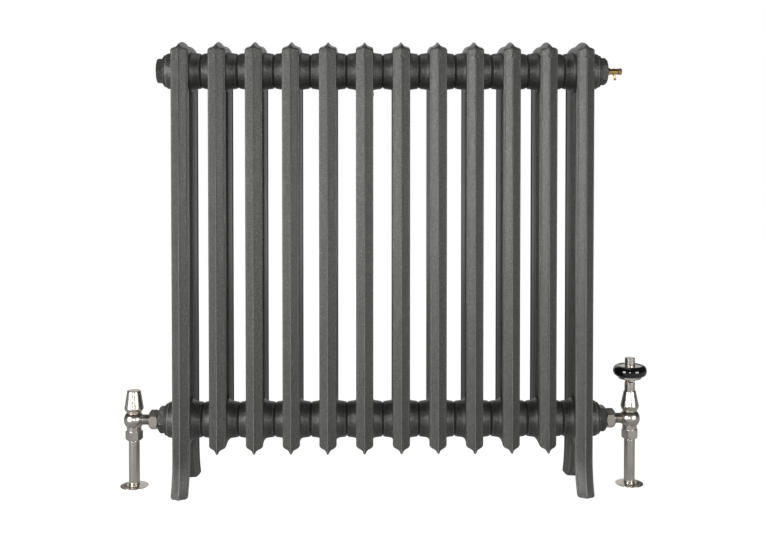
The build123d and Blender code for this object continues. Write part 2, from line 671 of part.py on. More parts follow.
def air_vent_spout():
    """Swivel ring in the barrel's groove, with the drip spout hanging from it."""
    low = VENT_BARREL_X + VENT_GROOVE_START + SLIDING_FIT
    middle = low + VENT_RING_LENGTH / 2
    inner = VENT_GROOVE_RADIUS + RUNNING_FIT
    high = low + VENT_RING_LENGTH
    band = on_vent_axis(ring(VENT_BARREL_RADIUS + VENT_RING_WALL, inner, low, high))
    tube = rod(SPOUT_RADIUS, -SPOUT_LENGTH, 0) + Pos(0, 0, -SPOUT_LENGTH) * Sphere(SPOUT_BEAD_RADIUS)
    tube = tube - rod(SPOUT_BORE_RADIUS, -SPOUT_LENGTH - 2 * SPOUT_BEAD_RADIUS, 0)
    place = Pos(middle, 0, TOP_HUB_Z - inner) * Rot(0, -SPOUT_LEAN, 0)
    clear = on_vent_axis(rod(inner, low - TRIM_MARGIN, high + TRIM_MARGIN))
    return band + (place * tube - clear)


def air_vent_needle():
    """Needle that closes the port, with a blunt cone at its inner end."""
    high = VENT_NEEDLE_X + VENT_NEEDLE_LENGTH
    return on_vent_axis(turned([
        (0, VENT_NEEDLE_X),
        (VENT_NEEDLE_RADIUS / 2, VENT_NEEDLE_X),
        (VENT_NEEDLE_RADIUS, VENT_NEEDLE_X + VENT_NEEDLE_RADIUS),
        (VENT_NEEDLE_RADIUS, high),
        (0, high),
    ]))


def air_vent_knob():
    """Knurled thumb knob on the outer end of the needle."""
    low = VENT_END_X + VENT_KNOB_GAP
    high = low + VENT_KNOB_LENGTH
    knob = turned([
        (0, low),
        (VENT_KNOB_RADIUS - VENT_KNOB_CHAMFER, low),
        (VENT_KNOB_RADIUS, low + VENT_KNOB_CHAMFER),
        (VENT_KNOB_RADIUS, high - VENT_KNOB_CHAMFER),
        (VENT_KNOB_RADIUS - VENT_KNOB_CHAMFER, high),
        (0, high),
    ])
    for knurl in range(VENT_KNURLS):
        turn = Rot(0, 0, 360 / VENT_KNURLS * knurl)
        knob = knob - turn * Pos(VENT_KNOB_RADIUS, 0, 0) * rod(VENT_KNURL_RADIUS, low, high)
    grip_high = VENT_NEEDLE_X + VENT_NEEDLE_LENGTH
    return on_vent_axis(knob - rod(VENT_NEEDLE_RADIUS + RUNNING_FIT, low, grip_high))


def save_air_vent():
    """Air vent at the top right."""
    save("air_vent_body", air_vent_body())
    save("air_vent_spout", air_vent_spout())
    save("air_vent_needle", air_vent_needle())
    save("air_vent_knob", air_vent_knob())


# ---------------------------------------------------------------- valve bodies and their joints

def valve_body(side):
    """Angle body: ball, necks and outlet, with pipe socket, seat and chamber."""
    solid = rod(SPIGOT_RADIUS, SPIGOT_LOW_Z, NECK_LOW_Z)
    solid = solid + rod(BODY_NECK_RADIUS, NECK_LOW_Z, LOW_HUB_Z)
    solid = solid + rod(BODY_TOP_RADIUS, LOW_HUB_Z, BODY_TOP_Z)
    ball = Pos(0, 0, LOW_HUB_Z) * Sphere(BALL_RADIUS)
    solid = solid + (ball & rod(BALL_RADIUS, NECK_LOW_Z, BODY_TOP_Z))
    solid = Pos(side * VALVE_X, 0, 0) * solid
    inner_end = COLLAR_START_X
    collar_end = NUT_START_X + UNION_NUT_LENGTH
    outlet = rod(UNION_THREAD_RADIUS, inner_end, collar_end - COLLAR_INSET)
    outlet = outlet + rod(OUTLET_RADIUS, inner_end, VALVE_X)
    solid = solid + Pos(0, 0, LOW_HUB_Z) * along_x(outlet, side)
    bores = rod(PIPE_RADIUS + PIPE_FIT, SPIGOT_LOW_Z, SPIGOT_LOW_Z + SOCKET_DEPTH)
    bores = bores + rod(SEAT_BORE_RADIUS, SPIGOT_LOW_Z, SEAT_Z)
    bores = bores + rod(CHAMBER_RADIUS, SEAT_Z, BODY_TOP_Z)
    solid = solid - Pos(side * VALVE_X, 0, 0) * bores
    way = rod(OUTLET_BORE_RADIUS, inner_end, VALVE_X)
    return solid - Pos(0, 0, LOW_HUB_Z) * along_x(way, side)


def union_tail(side):
    """Tail screwed into the bush, with the flange that the union nut pulls on."""
    start = BUSH_END_X - TAIL_THREAD_LENGTH
    solid = rod(TAIL_RADIUS, start, TAIL_FLANGE_X)
    solid = solid + rod(UNION_THREAD_RADIUS - TAIL_FLANGE_CLEARANCE, TAIL_FLANGE_X, COLLAR_START_X)
    solid = solid - rod(OUTLET_BORE_RADIUS, start, COLLAR_START_X)
    return Pos(0, 0, LOW_HUB_Z) * along_x(solid, side)


def union_nut(side):
    """Hexagon nut that draws the valve onto the tail, coned at both ends."""
    end = NUT_START_X + UNION_NUT_LENGTH
    solid = hexagon_bar(
        UNION_NUT_FLATS, NUT_START_X, end, UNION_INNER_END_RADIUS, UNION_INNER_TAPER,
        UNION_OUTER_END_RADIUS, UNION_OUTER_TAPER,
    )
    solid = solid - rod(TAIL_RADIUS + PIPE_FIT, NUT_START_X, TAIL_FLANGE_X)
    solid = solid - rod(UNION_THREAD_RADIUS, TAIL_FLANGE_X, end)
    return Pos(0, 0, LOW_HUB_Z) * along_x(solid, side)


def compression_nut():
    """Hexagon nut under the valve, coned at its lower end."""
    corner = COMPRESSION_NUT_FLATS / math.sqrt(3)
    cavity_low = SPIGOT_LOW_Z - OLIVE_LENGTH
    solid = hexagon_bar(
        COMPRESSION_NUT_FLATS, COMPRESSION_LOW_Z, NECK_LOW_Z, COMPRESSION_LOW_END_RADIUS,
        COMPRESSION_LOW_TAPER, corner - COMPRESSION_TOP_CHAMFER, COMPRESSION_TOP_CHAMFER,
        COMPRESSION_NUT_TURN,
    )
    solid = solid - rod(PIPE_RADIUS + PIPE_FIT, COMPRESSION_LOW_Z, cavity_low)
    return solid - rod(SPIGOT_RADIUS, cavity_low, NECK_LOW_Z)


def olive():
    """Brass ring squeezed onto the pipe."""
    low = SPIGOT_LOW_Z - OLIVE_LENGTH
    return ring(SPIGOT_RADIUS - PIPE_FIT, PIPE_RADIUS, low, SPIGOT_LOW_Z)


def supply_pipe():
    """Copper pipe from the floor into the valve's socket."""
    return ring(PIPE_RADIUS, PIPE_RADIUS - PIPE_WALL, 0, SPIGOT_LOW_Z + SOCKET_DEPTH)


def pipe_sleeve():
    """Plated sleeve that hides the pipe between the floor and the nut."""
    return ring(SLEEVE_RADIUS, SLEEVE_RADIUS - SLEEVE_WALL, 0, COMPRESSION_LOW_Z)


def floor_plate():
    """Loose domed plate around the sleeve, lying on the floor."""
    bore = SLEEVE_RADIUS + SLIDING_FIT
    return turned([
        (bore, 0),
        (FLOOR_PLATE_RADIUS, 0),
        (FLOOR_PLATE_RADIUS, FLOOR_PLATE_EDGE),
        (FLOOR_PLATE_CROWN_RADIUS, FLOOR_PLATE_THICKNESS),
        (bore, FLOOR_PLATE_THICKNESS),
    ])


def save_valve_connections(label, side):
    """Everything on one side except the valve's head."""
    stand = Pos(side * VALVE_X, 0, 0)
    save(label + "_union_tail", union_tail(side))
    save(label + "_union_nut", union_nut(side))
    save(label + "_compression_nut", stand * compression_nut())
    save(label + "_olive", stand * olive())
    save(label + "_pipe", stand * supply_pipe())
    save(label + "_pipe_sleeve", stand * pipe_sleeve())
    save(label + "_floor_plate", stand * floor_plate())


# ---------------------------------------------------------------- valve heads

def disc_washer():
    """Rubber washer that closes the seat."""
    return rod(WASHER_RADIUS, SEAT_Z, WASHER_TOP_Z)


def valve_disc():
    """Metal disc that carries the washer, with a socket for the spindle."""
    solid = rod(DISC_RADIUS, WASHER_TOP_Z, DISC_TOP_Z)
    return solid - rod(SPINDLE_RADIUS + RUNNING_FIT, SPINDLE_LOW_Z, DISC_TOP_Z)


def bonnet(stem_top, gland_depth):
    """Headwork screwed into the body: insert, flange and stem with a packing chamber."""
    solid = rod(CHAMBER_RADIUS, BONNET_LOW_Z, BODY_TOP_Z)
    solid = solid + rod(BONNET_FLANGE_RADIUS, BODY_TOP_Z, BONNET_SHOULDER_Z)
    solid = solid + rod(BONNET_STEM_RADIUS, BONNET_SHOULDER_Z, stem_top)
    solid = solid - rod(SPINDLE_RADIUS + RUNNING_FIT, BONNET_LOW_Z, stem_top)
    return solid - rod(GLAND_RADIUS, stem_top - gland_depth, stem_top)


def packing(stem_top, gland_depth):
    """Gland packing around the spindle."""
    low = stem_top - gland_depth
    return ring(GLAND_RADIUS, SPINDLE_RADIUS + RUNNING_FIT, low, low + PACKING_LENGTH)


def lockshield_gland_nut():
    """Small nut that presses the packing in the lockshield valve."""
    low = LOCKSHIELD_STEM_TOP_Z - LOCKSHIELD_GLAND_DEPTH + PACKING_LENGTH
    high = LOCKSHIELD_STEM_TOP_Z + LOCKSHIELD_GLAND_NUT_HEIGHT
    head = hexagon_bar(
        BONNET_STEM_RADIUS * math.sqrt(3), LOCKSHIELD_STEM_TOP_Z, high,
        BONNET_STEM_RADIUS, NO_TAPER, BONNET_STEM_RADIUS - GLAND_NUT_CHAMFER, GLAND_NUT_CHAMFER,
    )
    solid = rod(GLAND_RADIUS, low, LOCKSHIELD_STEM_TOP_Z) + head
    return solid - rod(SPINDLE_RADIUS + RUNNING_FIT, low, high)


def lockshield_spindle():
    """Spindle with a square end that a key turns once the cap is off."""
    square_low = LOCKSHIELD_SPINDLE_TOP_Z - LOCKSHIELD_SQUARE_LENGTH
    square = Box(
        LOCKSHIELD_SQUARE, LOCKSHIELD_SQUARE, LOCKSHIELD_SQUARE_LENGTH,
        align=(Align.CENTER, Align.CENTER, Align.MIN),
    )
    return rod(SPINDLE_RADIUS, SPINDLE_LOW_Z, square_low) + Pos(0, 0, square_low) * square


def shell_profile(foot_radius, widest_radius, widest_rise, top_radius, height, edge):
    """Face of a bulging cone above the body: half of its outline from the axis outwards."""
    foot_point = (foot_radius, 0, BODY_TOP_Z)
    low_bulge = (widest_radius - BULGE_INSET, 0, BODY_TOP_Z + widest_rise * BULGE_SHARE)
    widest = (widest_radius, 0, BODY_TOP_Z + widest_rise)
    edge_low = (top_radius, 0, BODY_TOP_Z + height - edge)
    edge_high = (top_radius - edge, 0, BODY_TOP_Z + height)
    bulge = ThreePointArc(foot_point, low_bulge, widest)
    slope = (Vector(*edge_low) - Vector(*widest)).normalized()
    start = Vector(*widest) + slope * RUNNING_FIT
    side = Polyline(widest, (start.X, 0, start.Z), edge_low, edge_high)
    rest = Polyline(edge_high, (0, 0, BODY_TOP_Z + height), (0, 0, BODY_TOP_Z), foot_point)
    return make_face(bulge + side + rest)


def lockshield_cap():
    """Screwed cap over the lockshield spindle."""
    outline = shell_profile(
        CAP_FOOT_RADIUS, CAP_WIDEST_RADIUS, CAP_WIDEST_RISE, CAP_TOP_RADIUS, CAP_HEIGHT, CAP_EDGE,
    )
    solid = revolve(outline, axis=Axis.Z)
    flange_room = BONNET_SHOULDER_Z + SLIDING_FIT
    solid = solid - rod(BONNET_FLANGE_RADIUS + RUNNING_FIT, BODY_TOP_Z, flange_room)
    return solid - rod(CAP_CAVITY_RADIUS, BODY_TOP_Z, BODY_TOP_Z + CAP_HEIGHT - CAP_ROOF)


def save_lockshield():
    """Left valve: set once with a key and covered by a cap."""
    stand = Pos(LEFT * VALVE_X, 0, 0)
    save("lockshield_body", valve_body(LEFT))
    save("lockshield_bonnet", stand * bonnet(LOCKSHIELD_STEM_TOP_Z, LOCKSHIELD_GLAND_DEPTH))
    save("lockshield_packing", stand * packing(LOCKSHIELD_STEM_TOP_Z, LOCKSHIELD_GLAND_DEPTH))
    save("lockshield_gland_nut", stand * lockshield_gland_nut())
    save("lockshield_washer", stand * disc_washer())
    save("lockshield_disc", stand * valve_disc())
    save("lockshield_spindle", stand * lockshield_spindle())
    save("lockshield_cap", stand * lockshield_cap())


def wheel_valve_shroud():
    """Bulging cone that covers the wheel valve's bonnet."""
    outline = shell_profile(
        SHROUD_FOOT_RADIUS, SHROUD_WIDEST_RADIUS, SHROUD_WIDEST_RISE,
        SHROUD_TOP_RADIUS, SHROUD_HEIGHT, CAP_EDGE,
    )
    solid = revolve(outline, axis=Axis.Z)
    solid = solid - rod(BONNET_FLANGE_RADIUS + PIPE_FIT, BODY_TOP_Z, BONNET_SHOULDER_Z)
    solid = solid - rod(BONNET_STEM_RADIUS + PIPE_FIT, BODY_TOP_Z, WHEEL_STEM_TOP_Z)
    return solid - rod(CROWN_COLLAR_RADIUS + PIPE_FIT, WHEEL_STEM_TOP_Z, BODY_TOP_Z + SHROUD_HEIGHT)


def wheel_valve_crown():
    """Gland nut with a tall collar and an open, windowed crown under the wheel."""
    packing_high = WHEEL_STEM_TOP_Z - WHEEL_GLAND_DEPTH + PACKING_LENGTH
    solid = rod(GLAND_RADIUS, packing_high, WHEEL_STEM_TOP_Z)
    solid = solid + rod(CROWN_COLLAR_RADIUS, WHEEL_STEM_TOP_Z, CROWN_COLLAR_TOP_Z)
    solid = solid + rod(CROWN_RADIUS, CROWN_COLLAR_TOP_Z, CROWN_TOP_Z)
    solid = solid - rod(SPINDLE_RADIUS + RUNNING_FIT, packing_high, CROWN_FLOOR_Z)
    solid = solid - rod(CROWN_BORE_RADIUS, CROWN_FLOOR_Z, CROWN_TOP_Z)
    window = Box(
        CROWN_COLLAR_RADIUS, CROWN_WINDOW_WIDTH, CROWN_TOP_Z - CROWN_WINDOW_SILL_Z,
        align=(Align.MIN, Align.CENTER, Align.MIN),
    )
    for index in range(CROWN_WINDOWS):
        turn = Rot(0, 0, CROWN_WINDOW_TURN + 360 / CROWN_WINDOWS * index)
        solid = solid - Pos(0, 0, CROWN_WINDOW_SILL_Z) * turn * window
    return solid


def wheel_valve_spindle():
    """Rising spindle, thinner where the crown's windows show it, up into the wheel's hub."""
    hub_high = WHEEL_HUB_LOW_Z + WHEEL_HUB_HEIGHT / 2
    neck_low = CROWN_WINDOW_SILL_Z - CROWN_NECK_DEPTH
    solid = rod(SPINDLE_RADIUS, SPINDLE_LOW_Z, neck_low)
    solid = solid + rod(WHEEL_SPINDLE_NECK_RADIUS, neck_low, WHEEL_LOW_Z)
    return solid + rod(SPINDLE_RADIUS, WHEEL_LOW_Z, hub_high)


def wheel_bottom_plate():
    """Plated lower plate with the hub that grips the spindle."""
    hub_high = WHEEL_HUB_LOW_Z + WHEEL_HUB_HEIGHT / 2
    solid = turned([
        (0, WHEEL_LOW_Z),
        (WHEEL_PLATE_RADIUS - WHEEL_PLATE_CHAMFER, WHEEL_LOW_Z),
        (WHEEL_PLATE_RADIUS, WHEEL_LOW_Z + WHEEL_PLATE_CHAMFER),
        (WHEEL_PLATE_RADIUS, WHEEL_HUB_LOW_Z),
        (0, WHEEL_HUB_LOW_Z),
    ])
    solid = solid + rod(WHEEL_HUB_RADIUS, WHEEL_HUB_LOW_Z, WHEEL_HUB_TOP_Z)
    solid = solid - rod(SPINDLE_RADIUS, WHEEL_LOW_Z, hub_high)
    return solid - rod(WHEEL_STUD_RADIUS, WHEEL_PLATE_TOP_Z - WHEEL_STUD_LENGTH, WHEEL_HUB_TOP_Z)


def wheel_ring():
    """Round-rimmed moulded wheel between the two plates."""
    centre_radius = WHEEL_RING_RADIUS - WHEEL_RING_HALF_WIDTH
    low = (centre_radius, 0, WHEEL_RING_Z - WHEEL_RING_HALF_HEIGHT)
    high = (centre_radius, 0, WHEEL_RING_Z + WHEEL_RING_HALF_HEIGHT)
    outer = (WHEEL_RING_RADIUS, 0, WHEEL_RING_Z)
    flank = WHEEL_RING_HALF_HEIGHT * math.sqrt(0.5)
    reach = centre_radius + WHEEL_RING_HALF_WIDTH * math.sqrt(0.5)
    rim = Spline(
        low, (reach, 0, WHEEL_RING_Z - flank), outer, (reach, 0, WHEEL_RING_Z + flank), high,
        tangents=((1, 0, 0), (-1, 0, 0)),
    )
    inner = Polyline(high, (0, 0, high[2]), (0, 0, low[2]), low)
    solid = revolve(make_face(rim + inner), axis=Axis.Z)
    solid = solid - rod(WHEEL_HUB_RADIUS, low[2], high[2])
    solid = solid - rod(WHEEL_TOP_PLATE_RADIUS, WHEEL_HUB_TOP_Z, high[2])
    return solid - rod(WHEEL_PLATE_RADIUS, low[2], WHEEL_HUB_LOW_Z)


def wheel_top_plate():
    """Thin plated disc let into the top of the wheel."""
    return ring(WHEEL_TOP_PLATE_RADIUS, WHEEL_STUD_RADIUS, WHEEL_HUB_TOP_Z, WHEEL_PLATE_TOP_Z)


def wheel_knob():
    """Knob on top of the wheel whose stud screws into the hub."""
    high = WHEEL_PLATE_TOP_Z + WHEEL_KNOB_HEIGHT
    head = turned([
        (0, WHEEL_PLATE_TOP_Z),
        (WHEEL_KNOB_RADIUS, WHEEL_PLATE_TOP_Z),
        (WHEEL_KNOB_RADIUS, high - WHEEL_KNOB_EDGE),
        (WHEEL_KNOB_RADIUS - WHEEL_KNOB_EDGE, high),
        (0, high),
    ])
    return head + rod(WHEEL_STUD_RADIUS, WHEEL_PLATE_TOP_Z - WHEEL_STUD_LENGTH, WHEEL_PLATE_TOP_Z)


def save_wheel_valve():
    """Right valve: opened and closed by hand with the wheel."""
    stand = Pos(RIGHT * VALVE_X, 0, 0)
    save("wheel_valve_body", valve_body(RIGHT))
    save("wheel_valve_bonnet", stand * bonnet(WHEEL_STEM_TOP_Z, WHEEL_GLAND_DEPTH))
    save("wheel_valve_packing", stand * packing(WHEEL_STEM_TOP_Z, WHEEL_GLAND_DEPTH))
    save("wheel_valve_shroud", stand * wheel_valve_shroud())
    save("wheel_valve_crown", stand * wheel_valve_crown())
    save("wheel_valve_washer", stand * disc_washer())
    save("wheel_valve_disc", stand * valve_disc())
    save("wheel_valve_spindle", stand * wheel_valve_spindle())
    save("wheel_bottom_plate", stand * wheel_bottom_plate())
    save("wheel_ring", stand * wheel_ring())
    save("wheel_top_plate", stand * wheel_top_plate())
    save("wheel_knob", stand * wheel_knob())


def main():
    """Write every node of the radiator and its valves."""
    os.makedirs("parts", exist_ok=True)
    save_sections()
    save_nipples_and_gaskets()
    save_bushes()
    save_air_vent()
    save_valve_connections("left", LEFT)
    save_valve_connections("right", RIGHT)
    save_lockshield()
    save_wheel_valve()


main()
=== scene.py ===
"""Looks of a cast-iron column radiator with its valves: meshes, finishes, floor, light and camera."""

import json
import logging
import math
from dataclasses import dataclass, field
from enum import Enum

import bmesh
import bpy
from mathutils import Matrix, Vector, noise


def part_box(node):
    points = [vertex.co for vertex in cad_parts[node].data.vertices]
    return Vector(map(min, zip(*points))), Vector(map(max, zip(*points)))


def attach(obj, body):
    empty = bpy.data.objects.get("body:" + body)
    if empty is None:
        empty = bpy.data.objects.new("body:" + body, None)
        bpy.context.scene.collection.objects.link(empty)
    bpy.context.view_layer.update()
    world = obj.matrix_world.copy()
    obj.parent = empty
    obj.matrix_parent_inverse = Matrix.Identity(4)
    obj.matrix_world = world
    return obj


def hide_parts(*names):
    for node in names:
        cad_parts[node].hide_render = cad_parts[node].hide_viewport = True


MM = 0.001
WELD = 0.00002
RIM = "rim"
BODY = "radiator"
NICKEL = "satin_nickel"
LOG = logging.getLogger("radiator")
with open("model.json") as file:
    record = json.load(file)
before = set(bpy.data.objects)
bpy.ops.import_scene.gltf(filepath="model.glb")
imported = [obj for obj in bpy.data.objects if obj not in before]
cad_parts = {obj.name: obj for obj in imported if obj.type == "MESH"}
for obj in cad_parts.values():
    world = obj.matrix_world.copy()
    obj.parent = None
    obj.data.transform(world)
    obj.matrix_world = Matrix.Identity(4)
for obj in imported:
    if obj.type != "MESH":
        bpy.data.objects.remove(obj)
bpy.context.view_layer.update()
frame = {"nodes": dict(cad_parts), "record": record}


# ------------------------------------------------------------------ shader groups

class Socket(Enum):
    """Kinds of socket that a shader group can have."""

    FLOAT = "NodeSocketFloat"
    COLOUR = "NodeSocketColor"
    VECTOR = "NodeSocketVector"


@dataclass
class NodeKit:
    """Short hand for placing and wiring nodes in one tree.

    Args:
        tree: The node tree that is filled.
    """

    tree: bpy.types.NodeTree

    def add(self, kind: str, **settings: object) -> bpy.types.Node:
        """Add a node and set its properties.

        Args:
            kind: The node's type name.
            **settings: Attributes set on the node.

        Returns:
            The new node.
        """
        node = self.tree.nodes.new(kind)
        for name, value in settings.items():
            setattr(node, name, value)
        return node

    def link(self, source: bpy.types.NodeSocket, target: bpy.types.NodeSocket) -> None:
        """Wire one socket to another."""
        self.tree.links.new(source, target)

    def noise(self, vector: bpy.types.NodeSocket, scale: float, detail: float,
              roughness: float) -> bpy.types.Node:
        """Add a noise texture read at a vector.

        Args:
            vector: Socket with the place.
            scale: Noise scale per metre.
            detail: Octaves of detail.
            roughness: Share that each octave keeps.

        Returns:
            The noise node.
        """
        node = self.add("ShaderNodeTexNoise")
        node.inputs["Scale"].default_value = scale
        node.inputs["Detail"].default_value = detail
        node.inputs["Roughness"].default_value = roughness
        self.link(vector, node.inputs["Vector"])
        return node

    def ramp(self, factor: bpy.types.NodeSocket, low: float, high: float) -> bpy.types.NodeSocket:
        """Turn a value into a mask that rises from 0 at low to 1 at high.

        Args:
            factor: Value that is remapped.
            low: Value that gives 0.
            high: Value that gives 1.

        Returns:
            The mask's socket.
        """
        node = self.add("ShaderNodeMapRange", interpolation_type="SMOOTHSTEP")
        node.inputs["From Min"].default_value = low
        node.inputs["From Max"].default_value = high
        self.link(factor, node.inputs["Value"])
        return node.outputs["Result"]

    def math(self, operation: str, first: object, second: object) -> bpy.types.NodeSocket:
        """Add a math node between two sockets or numbers.

        Args:
            operation: Blender's name of the operation.
            first: Socket or number.
            second: Socket or number.

        Returns:
            The result's socket.
        """
        node = self.add("ShaderNodeMath", operation=operation)
        for index, value in enumerate((first, second)):
            if isinstance(value, (int, float)):
                node.inputs[index].default_value = value
            else:
                self.link(value, node.inputs[index])
        return node.outputs["Value"]

    def mix(self, factor: bpy.types.NodeSocket, first: object, second: object) -> bpy.types.NodeSocket:
        """Mix two colours by a mask.

        Args:
            factor: Mask socket.
            first: Colour or socket shown where the mask is 0.
            second: Colour or socket shown where the mask is 1.

        Returns:
            The mixed colour's socket.
        """
        node = self.add("ShaderNodeMix", data_type="RGBA")
        self.link(factor, node.inputs[0])
        for index, value in ((6, first), (7, second)):
            if isinstance(value, tuple):
                node.inputs[index].default_value = value
            else:
                self.link(value, node.inputs[index])
        return node.outputs[2]


@dataclass(frozen=True)
class GroupSpec:
    """Name and sockets of a shader group.

    Args:
        name: Name of the node group.
        inputs: Name, kind and default of each input.
        outputs: Name and kind of each output.
    """

    name: str
    inputs: tuple[tuple[str, Socket, object], ...]
    outputs: tuple[tuple[str, Socket], ...]

    def open(self) -> tuple[NodeKit, bpy.types.Node, bpy.types.Node]:
        """Create the empty group.
        """
        tree = bpy.data.node_groups.new(self.name, "ShaderNodeTree")
        for name, kind, default in self.inputs:
            socket = tree.interface.new_socket(name, in_out="INPUT", socket_type=kind.value)
            socket.default_value = default
        for name, kind in self.outputs:
            tree.interface.new_socket(name, in_out="OUTPUT", socket_type=kind.value)
        kit = NodeKit(tree)
        return kit, kit.add("NodeGroupInput"), kit.add("NodeGroupOutput")


def build_edge_and_hollow_masks() -> bpy.types.NodeTree:
    """Group that marks rounded edges, from the attribute of the roundings, and hollows, from pointiness;
    its masks carry painted highlight and painted shade as well as roughness and dust.

    Returns:
        The group, with outputs Edge and Hollow.
    """
    spec = GroupSpec(
        "edge_and_hollow_masks",
        (("Patchiness", Socket.FLOAT, 60.0), ("Sharpness", Socket.FLOAT, 0.06)),
        (("Edge", Socket.FLOAT), ("Hollow", Socket.FLOAT)),
    )
    kit, given, result = spec.open()
    place = kit.add("ShaderNodeTexCoord").outputs["Object"]
    rim = kit.add("ShaderNodeAttribute", attribute_name=RIM).outputs["Fac"]
    point = kit.add("ShaderNodeNewGeometry").outputs["Pointiness"]
    patches = kit.noise(place, 60.0, 3.0, 0.6)
    kit.link(given.outputs["Patchiness"], patches.inputs["Scale"])
    broken = kit.math("MULTIPLY", kit.ramp(rim, 0.05, 0.6), kit.ramp(patches.outputs["Fac"], 0.3, 0.55))
    kit.link(broken, result.inputs["Edge"])
    sunk = kit.math("DIVIDE", kit.math("SUBTRACT", 0.5, point), given.outputs["Sharpness"])
    kit.link(kit.ramp(sunk, 0.1, 1.2), result.inputs["Hollow"])
    return kit.tree


def build_hammer_grain() -> bpy.types.NodeTree:
    """Group for hammered paint: rounded dimples with bright flakes between them.

    Returns:
        The group, with outputs Flake, Height and Cloud.
    """
    spec = GroupSpec(
        "hammer_grain",
        (("Dimple Size", Socket.FLOAT, 0.0020), ("Flake Cover", Socket.FLOAT, 0.5)),
        (("Flake", Socket.FLOAT), ("Height", Socket.FLOAT), ("Cloud", Socket.FLOAT)),
    )
    kit, given, result = spec.open()
    place = kit.add("ShaderNodeTexCoord").outputs["Object"]
    frequency = kit.math("DIVIDE", 1.0, given.outputs["Dimple Size"])
    drift = kit.noise(place, 350.0, 2.0, 0.5)
    bent = kit.add("ShaderNodeVectorMath", operation="MULTIPLY_ADD")
    kit.link(drift.outputs["Color"], bent.inputs[0])
    bent.inputs[1].default_value = (0.0012, 0.0012, 0.0012)
    kit.link(place, bent.inputs[2])
    cells = kit.add("ShaderNodeTexVoronoi", feature="SMOOTH_F1")
    cells.inputs["Smoothness"].default_value = 0.5
    kit.link(bent.outputs["Vector"], cells.inputs["Vector"])
    kit.link(frequency, cells.inputs["Scale"])
    speckle = kit.noise(place, 500.0, 2.5, 0.55)
    kit.link(kit.math("MULTIPLY", frequency, 0.75), speckle.inputs["Scale"])
    fine = kit.noise(place, 1500.0, 2.0, 0.6)
    kit.link(kit.math("MULTIPLY", frequency, 2.4), fine.inputs["Scale"])
    cloud = kit.noise(place, 9.0, 3.0, 0.5)
    patch = kit.ramp(speckle.outputs["Fac"], 0.46, 0.64)
    crest = kit.math("MULTIPLY", patch, kit.ramp(fine.outputs["Fac"], 0.3, 0.6))
    kit.link(kit.math("MULTIPLY", crest, given.outputs["Flake Cover"]), result.inputs["Flake"])
    bead = kit.math("SUBTRACT", 1.0, cells.outputs["Distance"])
    grit = kit.math("MULTIPLY", fine.outputs["Fac"], 0.35)
    kit.link(kit.math("ADD", bead, grit), result.inputs["Height"])
    kit.link(cloud.outputs["Fac"], result.inputs["Cloud"])
    return kit.tree


def build_turned_grain() -> bpy.types.NodeTree:
    """Group for metal that was turned or brushed: fine lines stretched along one direction.

    Returns:
        The group, with outputs Line, Height and Cloud.
    """
    spec = GroupSpec(
        "turned_grain",
        (("Stretch", Socket.VECTOR, (1.0, 1.0, 30.0)), ("Scale", Socket.FLOAT, 260.0)),
        (("Line", Socket.FLOAT), ("Height", Socket.FLOAT), ("Cloud", Socket.FLOAT)),
    )
    kit, given, result = spec.open()
    place = kit.add("ShaderNodeTexCoord").outputs["Object"]
    scaled = kit.add("ShaderNodeVectorMath", operation="MULTIPLY")
    kit.link(place, scaled.inputs[0])
    kit.link(given.outputs["Stretch"], scaled.inputs[1])
    lines = kit.noise(scaled.outputs["Vector"], 260.0, 4.0, 0.7)
    kit.link(given.outputs["Scale"], lines.inputs["Scale"])
    cloud = kit.noise(place, 70.0, 3.0, 0.55)
    kit.link(kit.ramp(lines.outputs["Fac"], 0.3, 0.75), result.inputs["Line"])
    kit.link(lines.outputs["Fac"], result.inputs["Height"])
    kit.link(cloud.outputs["Fac"], result.inputs["Cloud"])
    return kit.tree


@dataclass
class GroupShelf:
    """The shader groups that the finishes share, each built once."""

    edge_and_hollow_masks: bpy.types.NodeTree = field(default_factory=build_edge_and_hollow_masks)
    hammer_grain: bpy.types.NodeTree = field(default_factory=build_hammer_grain)
    turned_grain: bpy.types.NodeTree = field(default_factory=build_turned_grain)


def place_group(kit: NodeKit, tree: bpy.types.NodeTree, **values: object) -> bpy.types.Node:
    """Put a shared group into a material.

    Args:
        kit: Kit of the material's tree.
        tree: The group.
        **values: Input values, with underscores for the spaces in socket names.

    Returns:
        The group node.
    """
    node = kit.add("ShaderNodeGroup")
    node.node_tree = tree
    for name, value in values.items():
        node.inputs[name.replace("_", " ")].default_value = value
    return node


def open_material(name: str) -> tuple[NodeKit, bpy.types.Node, bpy.types.Material]:
    """Create a material with one Principled shader.

    Args:
        name: Name of the material.
    """
    material = bpy.data.materials.new(name)
    material.use_nodes = True
    kit = NodeKit(material.node_tree)
    shader = material.node_tree.nodes["Principled BSDF"]
    return kit, shader, material


def bump(kit: NodeKit, shader: bpy.types.Node, height: bpy.types.NodeSocket, depth: float,
         strength: float) -> None:
    """Feed a height into the shader's normal.

    Args:
        kit: Kit of the material's tree.
        shader: The Principled shader.
        height: Height between 0 and 1.
        depth: Depth of the relief in metres.
        strength: Strength of the bump.
    """
    node = kit.add("ShaderNodeBump")
    node.inputs["Distance"].default_value = depth
    node.inputs["Strength"].default_value = strength
    kit.link(height, node.inputs["Height"])
    kit.link(node.outputs["Normal"], shader.inputs["Normal"])


# ------------------------------------------------------------------ finishes

